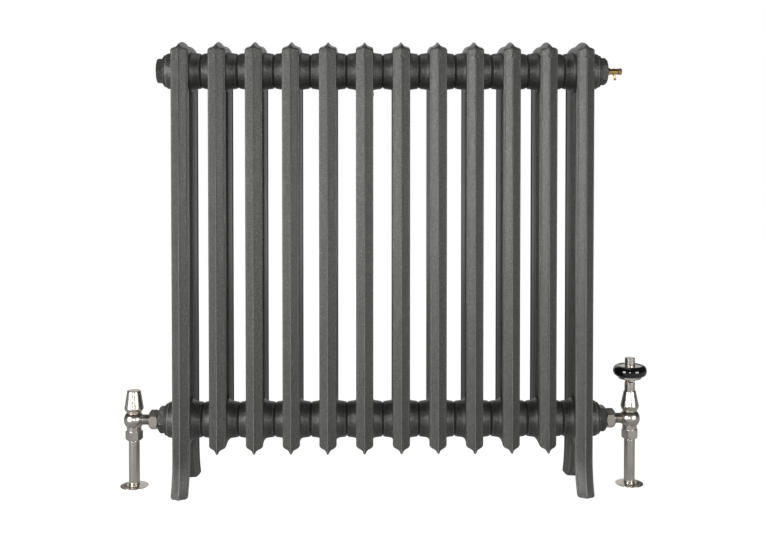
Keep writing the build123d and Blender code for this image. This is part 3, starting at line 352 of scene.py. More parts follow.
@dataclass(frozen=True)
class HammeredPaint:
    """Dark pewter hammered paint on cast iron, with bright flakes, a painted highlight along its rounded
    edges and painted shade in its hollows.

    Args:
        name: Name of the material.
        base: Colour of the dark ground.
        flake: Colour of the bright flakes.
        bright: Colour of the painted highlight along rounded edges.
        shade: Colour of the painted shade in hollows.
        dimple: Size of a dimple in metres.
        cover: How much of the flake colour shows.
    """

    name: str = "hammered_pewter"
    base: tuple[float, float, float, float] = (0.046, 0.046, 0.042, 1)
    flake: tuple[float, float, float, float] = (0.24, 0.24, 0.225, 1)
    bright: tuple[float, float, float, float] = (0.50, 0.50, 0.47, 1)
    shade: tuple[float, float, float, float] = (0.008, 0.008, 0.008, 1)
    dimple: float = 0.0014
    cover: float = 0.6

    def build(self, shelf: GroupShelf) -> bpy.types.Material:
        """Build the material.

        Args:
            shelf: The shared shader groups.

        Returns:
            The finished material.
        """
        kit, shader, material = open_material(self.name)
        grain = place_group(kit, shelf.hammer_grain, Dimple_Size=self.dimple, Flake_Cover=self.cover)
        # Edge and hollow masks for the painted highlight and painted shade below.
        edge_hollow = place_group(kit, shelf.edge_and_hollow_masks, Patchiness=420.0, Sharpness=0.08)
        speckled = kit.mix(grain.outputs["Flake"], self.base, self.flake)
        # Painted highlight: the rounded edges, broken into patches, get a lighter colour that stands in
        # for light caught by them.
        edge_highlighted = kit.mix(kit.math("MULTIPLY", edge_hollow.outputs["Edge"], 0.6), speckled, self.bright)
        # Painted shade: hollows, found from pointiness, are darkened towards near black.
        sunk = kit.math("MULTIPLY", edge_hollow.outputs["Hollow"], 0.7)
        hollow_shaded = kit.mix(sunk, edge_highlighted, self.shade)
        cloudy = kit.add("ShaderNodeHueSaturation")
        drift = kit.math("MULTIPLY", grain.outputs["Cloud"], 0.3)
        kit.link(kit.math("ADD", drift, 0.85), cloudy.inputs["Value"])
        kit.link(hollow_shaded, cloudy.inputs["Color"])
        kit.link(cloudy.outputs["Color"], shader.inputs["Base Color"])
        rough = kit.math("SUBTRACT", 0.34, kit.math("MULTIPLY", grain.outputs["Flake"], 0.10))
        kit.link(rough, shader.inputs["Roughness"])
        kit.link(kit.math("MULTIPLY", grain.outputs["Flake"], 0.85), shader.inputs["Metallic"])
        shader.inputs["Specular IOR Level"].default_value = 0.6
        shader.inputs["Coat Weight"].default_value = 0.12
        shader.inputs["Coat Roughness"].default_value = 0.25
        bump(kit, shader, grain.outputs["Height"], 0.00045, 0.9)
        return material


@dataclass(frozen=True)
class TurnedMetal:
    """Satin or polished metal with fine lines from turning or brushing, and painted shade in its hollows.

    Args:
        name: Name of the material.
        colour: Colour of the metal.
        dark: Colour in its darker lines and its tarnish; the hollows get their own painted shade.
        roughness: Mean roughness.
        stretch: Direction across which the lines run, larger where they are denser.
        relief: Depth of the lines in metres.
        anisotropy: Shader anisotropy.
    """

    name: str
    colour: tuple[float, float, float, float]
    dark: tuple[float, float, float, float]
    roughness: float
    stretch: tuple[float, float, float] = (1.0, 1.0, 30.0)
    relief: float = 0.00001
    anisotropy: float = 0.0

    def build(self, shelf: GroupShelf) -> bpy.types.Material:
        """Build the material.

        Args:
            shelf: The shared shader groups.

        Returns:
            The finished material.
        """
        kit, shader, material = open_material(self.name)
        grain = place_group(kit, shelf.turned_grain, Stretch=self.stretch)
        # Edge mask for roughness, hollow mask for painted shade.
        edge_hollow = place_group(kit, shelf.edge_and_hollow_masks, Patchiness=220.0, Sharpness=0.1)
        lined = kit.mix(kit.math("MULTIPLY", grain.outputs["Line"], 0.5), self.colour, self.dark)
        tarnish = kit.math("MULTIPLY", kit.ramp(grain.outputs["Cloud"], 0.42, 0.75), 0.35)
        toned = kit.mix(tarnish, lined, self.dark)
        # Painted shade: hollows, found from pointiness, are darkened towards a fixed dark brown.
        sunk = kit.mix(kit.math("MULTIPLY", edge_hollow.outputs["Hollow"], 0.6), toned, (0.05, 0.04, 0.035, 1))
        kit.link(sunk, shader.inputs["Base Color"])
        varied = kit.math("MULTIPLY", grain.outputs["Line"], 0.10)
        edge = kit.math("MULTIPLY", edge_hollow.outputs["Edge"], -0.08)
        rough = kit.math("ADD", kit.math("ADD", varied, edge), self.roughness)
        kit.link(rough, shader.inputs["Roughness"])
        shader.inputs["Metallic"].default_value = 1.0
        shader.inputs["Anisotropic"].default_value = self.anisotropy
        bump(kit, shader, grain.outputs["Height"], self.relief, 0.5)
        return material


@dataclass(frozen=True)
class GlossMoulding:
    """Gloss moulded plastic with a faint ripple and dust in its hollows.

    Args:
        name: Name of the material.
        colour: Colour of the moulding.
        dust: Colour of the dust.
        roughness: Mean roughness.
    """

    name: str = "gloss_black"
    colour: tuple[float, float, float, float] = (0.006, 0.006, 0.0065, 1)
    dust: tuple[float, float, float, float] = (0.09, 0.085, 0.08, 1)
    roughness: float = 0.09

    def build(self, shelf: GroupShelf) -> bpy.types.Material:
        """Build the material.

        Args:
            shelf: The shared shader groups.

        Returns:
            The finished material.
        """
        kit, shader, material = open_material(self.name)
        place = kit.add("ShaderNodeTexCoord").outputs["Object"]
        ripple = kit.noise(place, 90.0, 2.0, 0.5)
        specks = kit.noise(place, 2600.0, 2.0, 0.7)
        edge_hollow = place_group(kit, shelf.edge_and_hollow_masks, Patchiness=150.0, Sharpness=0.08)
        dusty = kit.mix(kit.math("MULTIPLY", edge_hollow.outputs["Hollow"], 0.3), self.colour, self.dust)
        kit.link(dusty, shader.inputs["Base Color"])
        haze = kit.math("MULTIPLY", kit.ramp(specks.outputs["Fac"], 0.55, 0.8), 0.12)
        kit.link(kit.math("ADD", haze, self.roughness), shader.inputs["Roughness"])
        shader.inputs["Coat Weight"].default_value = 0.6
        shader.inputs["Coat Roughness"].default_value = 0.04
        bump(kit, shader, ripple.outputs["Fac"], 0.0003, 0.25)
        return material


@dataclass(frozen=True)
class SealRubber:
    """Dark fibre or rubber of a gasket, washer or packing, mottled and matt.

    Args:
        name: Name of the material.
        colour: Colour of the rubber.
        worn: Colour of its worn flecks.
    """

    name: str = "seal_rubber"
    colour: tuple[float, float, float, float] = (0.012, 0.012, 0.011, 1)
    worn: tuple[float, float, float, float] = (0.05, 0.048, 0.045, 1)

    def build(self, shelf: GroupShelf) -> bpy.types.Material:
        """Build the material.

        Args:
            shelf: The shared shader groups.

        Returns:
            The finished material.
        """
        kit, shader, material = open_material(self.name)
        grain = place_group(kit, shelf.hammer_grain, Dimple_Size=0.0007, Flake_Cover=0.4)
        kit.link(kit.mix(grain.outputs["Flake"], self.colour, self.worn), shader.inputs["Base Color"])
        mottle = kit.math("MULTIPLY", grain.outputs["Cloud"], 0.2)
        kit.link(kit.math("ADD", mottle, 0.62), shader.inputs["Roughness"])
        bump(kit, shader, grain.outputs["Height"], 0.00008, 0.5)
        return material


class Finish(Enum):
    """Every finish on the radiator and its valves."""

    PAINTED_IRON = HammeredPaint()
    BARE_IRON = TurnedMetal(
        "machined_iron", (0.20, 0.19, 0.18, 1), (0.07, 0.06, 0.055, 1), 0.42, (30.0, 1.0, 1.0))
    SATIN_NICKEL = TurnedMetal(
        NICKEL, (0.78, 0.735, 0.665, 1), (0.40, 0.365, 0.32, 1), 0.24, (1.0, 1.0, 26.0), 0.000012, 0.3)
    BRASS = TurnedMetal(
        "turned_brass", (0.86, 0.60, 0.26, 1), (0.50, 0.31, 0.10, 1), 0.22, (26.0, 1.0, 1.0))
    COPPER = TurnedMetal(
        "drawn_copper", (0.80, 0.42, 0.28, 1), (0.42, 0.20, 0.13, 1), 0.30, (24.0, 24.0, 1.0))
    BLACK_WHEEL = GlossMoulding()
    SEAL = SealRubber()


SLOT_FINISH = {
    "painted_iron": Finish.PAINTED_IRON,
    "bare_iron": Finish.BARE_IRON,
    NICKEL: Finish.SATIN_NICKEL,
    "brass": Finish.BRASS,
    "copper": Finish.COPPER,
    "black_wheel": Finish.BLACK_WHEEL,
    "seal": Finish.SEAL,
}


@dataclass
class Paintbox:
    """Builds each finish's material once and hands it out."""

    shelf: GroupShelf = field(default_factory=GroupShelf)
    made: dict[Finish, bpy.types.Material] = field(default_factory=dict)

    def material(self, finish: Finish) -> bpy.types.Material:
        """Give the material of a finish, building it on first use."""
        if finish not in self.made:
            self.made[finish] = finish.value.build(self.shelf)
        return self.made[finish]

    def dress(self, piece: bpy.types.Object, slot: str) -> None:
        """Put one slot's material on every face of a piece.

        Args:
            piece: The object that is dressed.
            slot: The record's material slot.
        """
        materials = piece.data.materials
        if not materials:
            materials.append(None)
        for index in range(len(materials)):
            materials[index] = self.material(SLOT_FINISH[slot])


# ------------------------------------------------------------------ mesh tools

@dataclass(frozen=True)
class Softening:
    """How the sharp edges of a piece are rounded.

    Args:
        width: Width of the rounding in metres.
        segments: Faces across the rounding.
        least_turn: Smallest angle between two faces that counts as an edge, in degrees.
        shortest: Edges shorter than this are left alone, in metres.
    """

    width: float = 0.0006
    segments: int = 2
    least_turn: float = 28.0
    shortest: float = 0.0014


def soften(shape: bmesh.types.BMesh, softening: Softening) -> None:
    """Round the sharp edges of a shape with the bevel operator.

    Args:
        shape: The shape that is changed.
        softening: Width and choice of the edges.
    """
    turn = math.radians(softening.least_turn)
    tight = softening.width * 1.5
    chosen = [
        edge for edge in shape.edges
        if edge.is_manifold
        and edge.is_convex
        and edge.calc_length() > softening.shortest
        and edge.calc_face_angle(0.0) > turn
        and not any(near.calc_length() < tight for end in edge.verts for near in end.link_edges)
    ]
    made = bmesh.ops.bevel(
        shape, geom=chosen, offset=softening.width, offset_type="OFFSET", segments=softening.segments,
        profile=0.5, affect="EDGES", clamp_overlap=False, material=-1, loop_slide=True)
    rim = shape.verts.layers.float.get(RIM) or shape.verts.layers.float.new(RIM)
    rounded = {face for face in made["faces"] if face.is_valid}
    for point in {corner for face in rounded for corner in face.verts}:
        if all(face in rounded for face in point.link_faces):
            point[rim] = 1.0


def spun(profile: tuple[tuple[float, float], ...], steps: int = 96,
         closed: bool = False) -> bmesh.types.BMesh:
    """Spin a profile about Z.

    Args:
        profile: Radius and height of each point in millimetres.
        steps: Number of steps round the axis.
        closed: Whether the profile's last point joins its first, as on a ring.

    Returns:
        The spun shape, with its poles closed and its faces outwards.
    """
    shape = bmesh.new()
    points = [shape.verts.new((radius * MM, 0, height * MM)) for radius, height in profile]
    lines = [shape.edges.new(pair) for pair in zip(points, points[1:])]
    if closed:
        lines.append(shape.edges.new((points[-1], points[0])))
    bmesh.ops.spin(
        shape, geom=points + lines, cent=(0, 0, 0), axis=(0, 0, 1), dvec=(0, 0, 0), angle=math.tau,
        steps=steps, use_merge=True, use_normal_flip=False, use_duplicate=False)
    bmesh.ops.remove_doubles(shape, verts=shape.verts, dist=0.000001)
    bmesh.ops.recalc_face_normals(shape, faces=shape.faces)
    return shape


def move(shape: bmesh.types.BMesh, offset: tuple[float, float, float]) -> None:
    """Move a whole shape by an offset in metres."""
    bmesh.ops.translate(shape, verts=shape.verts, vec=offset)


def underside(node: str) -> float:
    """Give the height of a node's underside in millimetres."""
    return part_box(node)[0].z / MM


def take_in(shape: bmesh.types.BMesh, other: bmesh.types.BMesh) -> None:
    """Add another shape's faces to a shape.

    Args:
        shape: The shape that grows.
        other: The shape that is added; it is freed.
    """
    carrier = bpy.data.meshes.new("carrier")
    other.to_mesh(carrier)
    other.free()
    shape.from_mesh(carrier)
    bpy.data.meshes.remove(carrier)


def merged_copy(node: str, weld: float = WELD) -> bmesh.types.BMesh:
    """Copy a node's loose triangles into one welded shape.

    Args:
        node: Name of the node.
        weld: Distance below which points become one, in metres.

    Returns:
        The welded copy.
    """
    shape = bmesh.new()
    shape.from_mesh(frame["nodes"][node].data)
    bmesh.ops.remove_doubles(shape, verts=shape.verts, dist=weld)
    bmesh.ops.dissolve_degenerate(shape, edges=shape.edges, dist=weld)
    return shape


def join_flats(shape: bmesh.types.BMesh, turn: float) -> None:
    """Dissolve the lines inside flat faces.

    Args:
        shape: The shape that is changed.
        turn: Largest angle in degrees across a dissolved line.
    """
    bmesh.ops.dissolve_limit(
        shape, angle_limit=math.radians(turn), use_dissolve_boundaries=False,
        verts=shape.verts, edges=shape.edges)


@dataclass
class Bench:
    """Turns finished shapes into pieces that ride on the frame and stand for its nodes."""

    paint: Paintbox

    def place(self, name: str, shape: bmesh.types.BMesh, slot: str, body: str,
              nodes: tuple[str, ...], crease: float = 32.0) -> bpy.types.Object:
        """Make a piece from a shape.

        Args:
            name: Name of the piece.
            shape: The finished shape, in the shared frame; it is freed.
            slot: Material slot of the record.
            body: Body that the piece rides on.
            nodes: Nodes that the piece stands for.
            crease: Edges that turn by more than this many degrees stay sharp.

        Returns:
            The piece.
        """
        sharp = math.radians(crease)
        for edge in shape.edges:
            edge.smooth = not edge.is_manifold or edge.calc_face_angle(0.0) < sharp
        for face in shape.faces:
            face.smooth = True
        mesh = bpy.data.meshes.new(name)
        shape.to_mesh(mesh)
        shape.free()
        piece = bpy.data.objects.new(name, mesh)
        bpy.context.scene.collection.objects.link(piece)
        weighted = piece.modifiers.new("even_normals", "WEIGHTED_NORMAL")
        weighted.keep_sharp = True
        weighted.weight = 60
        self.paint.dress(piece, slot)
        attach(piece, body)
        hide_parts(*nodes)
        LOG.info("%s stands for %s", name, ", ".join(nodes))
        return piece

    def softened(self, prefix: str, node: str, slot: str, body: str, softening: Softening,
                 flat_turn: float = 0.0, weld: float = WELD) -> None:
        """Make a piece that is a node's own shape with rounded edges.

        Args:
            prefix: Start of the piece's name, before the node's.
            node: Name of the node.
            slot: Material slot of the record.
            body: Body that the piece rides on.
            softening: Rounding of its edges.
            flat_turn: Angle in degrees up to which faces are one flat face, or 0 to leave them.
            weld: Distance below which points become one, in metres.
        """
        shape = merged_copy(node, weld)
        if flat_turn > 0:
            join_flats(shape, flat_turn)
        soften(shape, softening)
        self.place(prefix + node, shape, slot, body, (node,))


# ------------------------------------------------------------------ radiator body

@dataclass
class IronSections:
    """The twelve castings, each a softened copy of its node with small foundry differences.

    Args:
        bench: Where the pieces are finished.
        softening: Rounding of the castings' edges.
        flat_turn: Angle in degrees up to which faces are one flat face.
        count: How many castings there are.
        keel_height: Points below this height on a plain casting belong to its keel, in metres.
        keel_depth: Height over which the change fades in, in metres.
        keel_wander: Largest change of a keel's height, in metres.
        drip_on: Number of the casting with a run of paint.
        drip_size: Radius and length of the run, in metres.
        drip_place: Where it hangs, right of the casting's middle, in Y, and below its top, in metres.
    """

    bench: Bench
    softening: Softening = Softening(0.00055, 2, 20.0, 0.003)
    flat_turn: float = 0.4
    count: int = 12
    keel_height: float = 0.0745
    keel_depth: float = 0.005
    keel_wander: float = 0.0011
    drip_on: int = 6
    drip_size: tuple[float, float] = (0.0021, 0.0095)
    drip_place: tuple[float, float, float] = (0.0146, -0.047, 0.088)

    def names(self) -> list[str]:
        """List the castings' node names from left to right."""
        return ["section_%02d" % number for number in range(1, self.count + 1)]

    def wander_keel(self, shape: bmesh.types.BMesh, number: int) -> None:
        """Lift a plain casting's keel a little, differently on each casting.

        Args:
            shape: The casting.
            number: Its place from the left.
        """
        lift = self.keel_wander * (0.5 + 0.5 * noise.noise(Vector((number * 1.7, 0.3, 0.0))))
        for point in shape.verts:
            depth = self.keel_height - point.co.z
            if depth > 0:
                point.co.z += lift * min(depth / self.keel_depth, 1.0)

    def drip(self, node: str) -> bmesh.types.BMesh:
        """Shape a run of paint that hangs under the top hub's edge.

        Args:
            node: Name of the casting that it hangs on.

        Returns:
            The drip.
        """
        low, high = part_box(node)
        radius, length = self.drip_size
        right, forward, below = self.drip_place
        shape = bmesh.new()
        bmesh.ops.create_uvsphere(shape, u_segments=20, v_segments=14, radius=radius)
        bmesh.ops.scale(shape, verts=shape.verts, vec=(0.8, 1.0, length / radius / 2))
        for point in shape.verts:
            if point.co.z > 0:
                point.co.x *= 1 - 0.35 * point.co.z / length
        move(shape, (high.x * 0.48 + low.x * 0.52 + right, forward, high.z - below))
        return shape

    def build(self) -> None:
        """Make all castings."""
        for number, node in enumerate(self.names(), start=1):
            shape = merged_copy(node)
            join_flats(shape, self.flat_turn)
            soften(shape, self.softening)
            if 1 < number < self.count:
                self.wander_keel(shape, number)
            if number == self.drip_on:
                take_in(shape, self.drip(node))
            self.bench.place("iron_" + node, shape, "painted_iron", BODY, (node,), 26.0)


@dataclass
class HeaderEnds:
    """Bushes and plug that close the headers, with softened hexagons."""

    bench: Bench
    softening: Softening = Softening(0.0005, 2, 24.0, 0.002)

    def build(self) -> None:
        """Make the plug and the three bushes."""
        for node in ("blanking_plug", "air_vent_bush", "left_valve_bush", "right_valve_bush"):
            self.bench.softened("cast_", node, "painted_iron", BODY, self.softening, 0.4)


@dataclass
class AirVent:
    """Small brass vent at the top right: body, swivel spout, needle and knurled knob."""

    bench: Bench
    softening: Softening = Softening(0.00015, 2, 30.0, 0.0008)

    def build(self) -> None:
        """Make the vent's visible pieces."""
        bodies = {"air_vent_body": BODY, "air_vent_spout": "vent_spout", "air_vent_knob": "vent_knob"}
        for node, body in bodies.items():
            self.bench.softened("brass_", node, "brass", body, self.softening, weld=WELD / 2)


# ------------------------------------------------------------------ valves

@dataclass
class ValveFittings:
    """Body, union, compression joint, sleeve and floor plate at one end of the radiator.

    Args:
        bench: Where the pieces are finished.
        side: "left" or "right".
        body_node: Node of the angle body.
        centre: X of the valve's axis in metres.
        body_softening: Rounding of the angle body's edges.
        nut_softening: Rounding of the nuts' and the tail's edges.
        sleeve_radius: Outer radius of the sleeve, in millimetres as the next three.
        sleeve_wall: Thickness of the sleeve.
        plate_radius: Outer radius of the floor plate.
        plate_bore: Radius of the floor plate's hole.
    """

    bench: Bench
    side: str
    body_node: str
    centre: float
    body_softening: Softening = Softening(0.0004, 3, 30.0, 0.0012)
    nut_softening: Softening = Softening(0.00035, 2, 24.0, 0.0012)
    sleeve_radius: float = 9.0
    sleeve_wall: float = 1.2
    plate_radius: float = 23.25
    plate_bore: float = 9.1

    def build(self) -> None:
        """Make this end's pieces."""
        self.angle_body()
        self.nuts()
        self.sleeve()
        self.floor_plate()

    def angle_body(self) -> None:
        """Soften the ball-shaped angle body."""
        self.bench.softened("plated_", self.body_node, NICKEL, BODY, self.body_softening, 0.2)

    def nuts(self) -> None:
        """Soften the union nut, the tail and the compression nut."""
        for part in ("union_nut", "union_tail", "compression_nut"):
            node = "%s_%s" % (self.side, part)
            self.bench.softened("plated_", node, NICKEL, BODY, self.nut_softening, 0.2)

    def sleeve(self) -> None:
        """Spin the plated sleeve with rolled ends."""
        node = self.side + "_pipe_sleeve"
        low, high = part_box(node)
        top, bottom, outer = high.z / MM, low.z / MM, self.sleeve_radius
        inner = outer - self.sleeve_wall
        shape = spun((
            (inner, bottom), (outer - 0.4, bottom), (outer, bottom + 0.4), (outer, top - 0.9),
            (outer - 0.25, top - 0.3), (outer - 0.7, top), (inner, top)), 80, True)
        move(shape, (self.centre, 0, 0))
        self.bench.place("plated_" + node, shape, NICKEL, BODY, (node,))

    def floor_plate(self) -> None:
        """Spin the loose floor plate as a shallow dish with a rolled rim and collar."""
        node = self.side + "_floor_plate"
        rim, bore = self.plate_radius, self.plate_bore
        rolled_rim = ((bore, 0.0), (rim - 0.25, 0.0), (rim, 0.25), (rim - 0.1, 0.7), (rim - 0.6, 0.95))
        dish = ((rim - 4.0, 1.25), (rim - 8.0, 1.75), (14.2, 2.12), (12.6, 2.3))
        collar = ((bore + 0.7, 2.4), (bore + 0.1, 2.25), (bore, 2.0))
        shape = spun(rolled_rim + dish + collar, 96, True)
        move(shape, (self.centre, 0, 0))
        self.bench.place("plated_" + node, shape, NICKEL, node, (node,))


@dataclass
class LockshieldHead:
    """The plain valve's cap and the spindle and nut that show once the cap is lifted.

    Args:
        bench: Where the pieces are finished.
        centre: X of the valve's axis in metres.
        softening: Rounding of the spindle's, the nut's and the bonnet's edges.
    """

    bench: Bench
    centre: float
    softening: Softening = Softening(0.0002, 2, 30.0, 0.0008)

    def build(self) -> None:
        """Make the head's pieces."""
        self.cap()
        self.bench.softened("plated_", "lockshield_spindle", NICKEL, "lockshield_spindle", self.softening)
        for node in ("lockshield_gland_nut", "lockshield_bonnet"):
            self.bench.softened("plated_", node, NICKEL, BODY, self.softening)

    def cap(self) -> None:
        """Spin the capped cone, hollow from below."""
        base = underside("lockshield_cap")
        top, roof = base + 35.5, base + 29.5
        shape = spun((
            (10.9, base), (12.1, base), (12.5, base + 0.35), (13.6, base + 1.2), (14.7, base + 2.7),
            (15.45, base + 4.2), (15.8, base + 5.4), (15.83, base + 6.2), (15.6, base + 7.4),
            (11.35, top - 1.6), (11.1, top - 0.7), (10.6, top - 0.2), (9.9, top), (0.0, top)))
        hollow = spun((
            (0.0, roof), (7.8, roof), (8.6, roof - 0.8), (8.6, base + 5.6), (10.9, base + 5.6),
            (10.9, base)))
        take_in(shape, hollow)
        bmesh.ops.remove_doubles(shape, verts=shape.verts, dist=WELD / 2)
        bmesh.ops.recalc_face_normals(shape, faces=shape.faces)
        move(shape, (self.centre, 0, 0))
        node = "lockshield_cap"
        self.bench.place("plated_" + node, shape, NICKEL, node, (node,), 40.0)


@dataclass
class WheelHead:
    """The wheel valve's shroud, windowed crown, spindle and layered handwheel.

    Args:
        bench: Where the pieces are finished.
        centre: X of the valve's axis in metres.
        plate_thickness: Thickness of the lower plate's disc, in millimetres as the next two.
        plate_radius: Radius of the lower plate's disc.
        rim_half_width: Half the width of the ring's round.
        rim_steps: How many faces shape the ring's round.
        softening: Rounding of the crown's, the spindle's and the lower plate's edges.
    """

    bench: Bench
    centre: float
    plate_thickness: float = 4.6
    plate_radius: float = 19.3
    rim_half_width: float = 7.6
    rim_steps: int = 30
    softening: Softening = Softening(0.0003, 2, 30.0, 0.0008)

    def build(self) -> None:
        """Make the head's pieces."""
        self.shroud()
        self.crown_and_spindle()
        self.plates()
        self.ring()
        self.knob()

    def place_spun(self, name: str, profile: tuple[tuple[float, float], ...], slot: str, body: str,
                   closed: bool = True, crease: float = 40.0) -> None:
        """Spin a profile about the valve's axis and place it for its node.

        Args:
            name: Name of the node.
            profile: Radius and height of each point in millimetres.
            slot: Material slot.
            body: Body that it rides on.
            closed: Whether the profile closes on itself.
            crease: Edges that turn by more than this many degrees stay sharp.
        """
        shape = spun(profile, 112, closed)
        move(shape, (self.centre, 0, 0))
        self.bench.place("head_" + name, shape, slot, body, (name,), crease)

    def shroud(self) -> None:
        """Spin the bulging cone around the bonnet."""
        base = underside("wheel_valve_shroud")
        self.place_spun("wheel_valve_shroud", (
            (10.85, base), (11.9, base), (12.3, base + 0.35), (13.3, base + 1.5), (14.2, base + 3.2),
            (14.85, base + 5.2), (15.1, base + 6.6), (15.12, base + 7.4), (14.9, base + 8.8),
            (10.3, base + 31.0), (10.05, base + 31.9), (9.5, base + 32.5), (8.8, base + 32.5),
            (8.8, base + 30.5), (6.7, base + 30.5), (6.7, base + 5.5), (10.85, base + 5.5)),
            NICKEL, BODY)

    def crown_and_spindle(self) -> None:
        """Soften the windowed crown and the rising spindle."""
        self.bench.softened("head_", "wheel_valve_crown", NICKEL, BODY, self.softening, 0.2)
        self.bench.softened("head_", "wheel_valve_spindle", NICKEL, "handwheel", self.softening, 0.2)

    def plates(self) -> None:
        """Soften the lower plate and spin the thin upper plate with a turned step."""
        self.bench.softened("head_", "wheel_bottom_plate", NICKEL, "handwheel", self.softening)
        low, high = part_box("wheel_top_plate")
        bottom, top = low.z / MM, high.z / MM
        self.place_spun("wheel_top_plate", (
            (2.4, bottom), (19.15, bottom), (19.4, bottom + 0.3), (19.3, top - 0.25), (18.9, top - 0.05),
            (15.6, top), (15.2, top - 0.2), (14.8, top), (2.4, top)),
            NICKEL, "handwheel", True, 50.0)

    def ring(self) -> None:
        """Spin the gloss moulded rim as a full round over its hub and the seats of both plates."""
        low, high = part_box("wheel_ring")
        bottom, top = low.z / MM, high.z / MM
        middle, half_height = (bottom + top) / 2, (top - bottom) / 2
        centre_radius = (high.x - low.x) / 2 / MM - self.rim_half_width
        rim = []
        for step in range(self.rim_steps + 1):
            angle = -math.pi / 2 + math.pi * step / self.rim_steps
            radius = centre_radius + self.rim_half_width * math.cos(angle) ** 0.92
            rim.append((radius, middle + half_height * math.sin(angle)))
        hub_high = underside("wheel_top_plate")
        hub_low = underside("wheel_bottom_plate") + self.plate_thickness
        seat = self.plate_radius
        inner = (
            (19.6, top), (19.4, top - 0.25), (19.4, hub_high), (7.6, hub_high),
            (7.6, hub_low), (seat, hub_low), (seat, bottom + 0.25), (seat + 0.2, bottom))
        self.place_spun("wheel_ring", tuple(rim) + inner, "black_wheel", "handwheel", True, 50.0)

    def knob(self) -> None:
        """Spin the knob on top, with a domed edge, and its stud."""
        low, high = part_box("wheel_knob")
        bottom, top = low.z / MM, high.z / MM
        seat = bottom + 7.0
        self.place_spun("wheel_knob", (
            (0.0, bottom), (2.3, bottom), (2.4, bottom + 0.1), (2.4, seat), (8.1, seat), (8.5, seat + 0.4),
            (8.5, top - 1.3), (8.3, top - 0.6), (7.8, top - 0.15), (7.1, top), (0.0, top)),
            NICKEL, "handwheel", False)


# ------------------------------------------------------------------ what stays as it is

@dataclass
class HiddenWorks:
    """Nodes inside the radiator and its valves that keep their own mesh and get a finish."""

    paint: Paintbox

    def dress(self) -> None:
        """Give every node that is still shown the material of its record slot."""
        slots = {part["node"]: part["material_slot"] for part in frame["record"]["subparts"]}
        for name, node in frame["nodes"].items():
            self.paint.dress(node, slots[name])
            if not node.hide_render:
                LOG.info("%s keeps its mesh in %s", name, slots[name])


# ------------------------------------------------------------------ studio

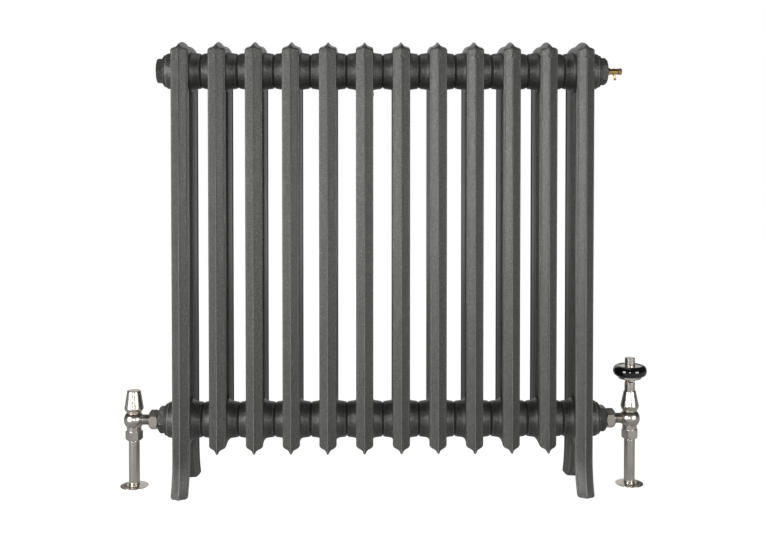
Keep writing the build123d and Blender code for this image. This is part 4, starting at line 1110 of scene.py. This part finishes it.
@dataclass
class Studio:
    """Pale floor, white surroundings, soft lights and the camera.

    Args:
        camera_place: Where the camera stands, in metres.
        pitch: How far it looks down, in degrees.
        yaw: How far it looks to the right, in degrees.
        lens: Focal length in millimetres.
        sensor: Width of the film in millimetres.
        shift: How far the film is raised, in film widths.
        floor_size: Half the floor's side in metres.
    """

    camera_place: tuple[float, float, float] = (-0.0223, -1.677, 0.5725)
    pitch: float = 1.3
    yaw: float = 0.78
    lens: float = 47.1
    shift: float = -0.137
    sensor: float = 36.0
    floor_size: float = 14.0

    def build(self) -> None:
        """Set up everything around the object."""
        self.floor()
        self.surroundings()
        self.light("key_left", (-1.95, -1.75, 0.65), (0.0, 0.0, 0.38), 1.1, 46.0)
        self.light("key_right", (1.8, -1.9, 0.6), (0.0, 0.0, 0.38), 0.9, 24.0)
        self.light("front_small", (-0.15, -2.5, 0.62), (0.0, 0.0, 0.38), 0.28, 11.0)
        self.light("top_soft", (0.0, 0.3, 2.1), (0.0, 0.0, 0.5), 1.0, 4.0)
        self.light("backdrop_glow", (0.0, 2.4, 0.9), (0.0, 0.0, 0.5), 2.4, 12.0)
        self.camera()

    def floor(self) -> None:
        """Lay a large pale floor."""
        shape = bmesh.new()
        bmesh.ops.create_grid(shape, x_segments=2, y_segments=2, size=self.floor_size)
        mesh = bpy.data.meshes.new("studio_floor")
        shape.to_mesh(mesh)
        shape.free()
        floor = bpy.data.objects.new("studio_floor", mesh)
        bpy.context.scene.collection.objects.link(floor)
        kit, shader, material = open_material("pale_floor")
        place = kit.add("ShaderNodeTexCoord").outputs["Object"]
        mottle = kit.noise(place, 3.0, 2.0, 0.5)
        kit.link(kit.mix(mottle.outputs["Fac"], (0.14, 0.14, 0.14, 1), (0.17, 0.17, 0.17, 1)),
                 shader.inputs["Base Color"])
        shader.inputs["Roughness"].default_value = 0.9
        shader.inputs["Emission Color"].default_value = (1, 1, 1, 1)
        path = kit.add("ShaderNodeLightPath")
        seen = kit.math("MULTIPLY", path.outputs["Is Camera Ray"], 1.0)
        mirrored = kit.math("MULTIPLY", path.outputs["Is Glossy Ray"], 0.25)
        kit.link(kit.math("ADD", seen, mirrored), shader.inputs["Emission Strength"])
        mesh.materials.append(material)

    def surroundings(self) -> None:
        """White for the camera, soft grey for the light that falls on the object."""
        world = bpy.data.worlds.new("studio_white")
        bpy.context.scene.world = world
        world.use_nodes = True
        kit = NodeKit(world.node_tree)
        background = world.node_tree.nodes["Background"]
        path = kit.add("ShaderNodeLightPath")
        strength = kit.add("ShaderNodeMapRange")
        strength.inputs["To Min"].default_value = 0.035
        strength.inputs["To Max"].default_value = 1.0
        kit.link(path.outputs["Is Camera Ray"], strength.inputs["Value"])
        background.inputs["Color"].default_value = (1, 1, 1, 1)
        kit.link(strength.outputs["Result"], background.inputs["Strength"])

    def light(self, name: str, place: tuple[float, float, float], aim: tuple[float, float, float],
              size: float, power: float) -> None:
        """Hang a square soft light.

        Args:
            name: Name of the light.
            place: Where it hangs, in metres.
            aim: Point that it faces.
            size: Length of its side in metres.
            power: Power in watts.
        """
        lamp = bpy.data.lights.new(name, "AREA")
        lamp.shape = "SQUARE"
        lamp.size = size
        lamp.energy = power
        holder = bpy.data.objects.new(name, lamp)
        holder.visible_camera = False
        bpy.context.scene.collection.objects.link(holder)
        holder.location = place
        holder.rotation_euler = (Vector(aim) - Vector(place)).to_track_quat("-Z", "Y").to_euler()

    def camera(self) -> None:
        """Stand the camera in front, a little left of the middle."""
        data = bpy.data.cameras.new("studio_camera")
        data.lens = self.lens
        data.sensor_width = self.sensor
        data.shift_y = self.shift
        data.dof.use_dof = False
        camera = bpy.data.objects.new("studio_camera", data)
        bpy.context.scene.collection.objects.link(camera)
        camera.location = self.camera_place
        camera.rotation_euler = (math.radians(90.0 - self.pitch), 0.0, math.radians(-self.yaw))
        bpy.context.scene.camera = camera


def main() -> None:
    """Build the radiator, its valves and the studio in order."""
    logging.basicConfig(level=logging.INFO, format="%(name)s: %(message)s")
    paint = Paintbox()
    bench = Bench(paint)
    left = sum(corner.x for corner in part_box("left_pipe_sleeve")) / 2
    right = sum(corner.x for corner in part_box("right_pipe_sleeve")) / 2
    IronSections(bench).build()
    HeaderEnds(bench).build()
    AirVent(bench).build()
    ValveFittings(bench, "left", "lockshield_body", left).build()
    ValveFittings(bench, "right", "wheel_valve_body", right).build()
    LockshieldHead(bench, left).build()
    WheelHead(bench, right).build()
    HiddenWorks(paint).dress()
    Studio().build()
    bpy.context.scene.view_settings.view_transform = "Standard"


if __name__ == "__main__":
    main()
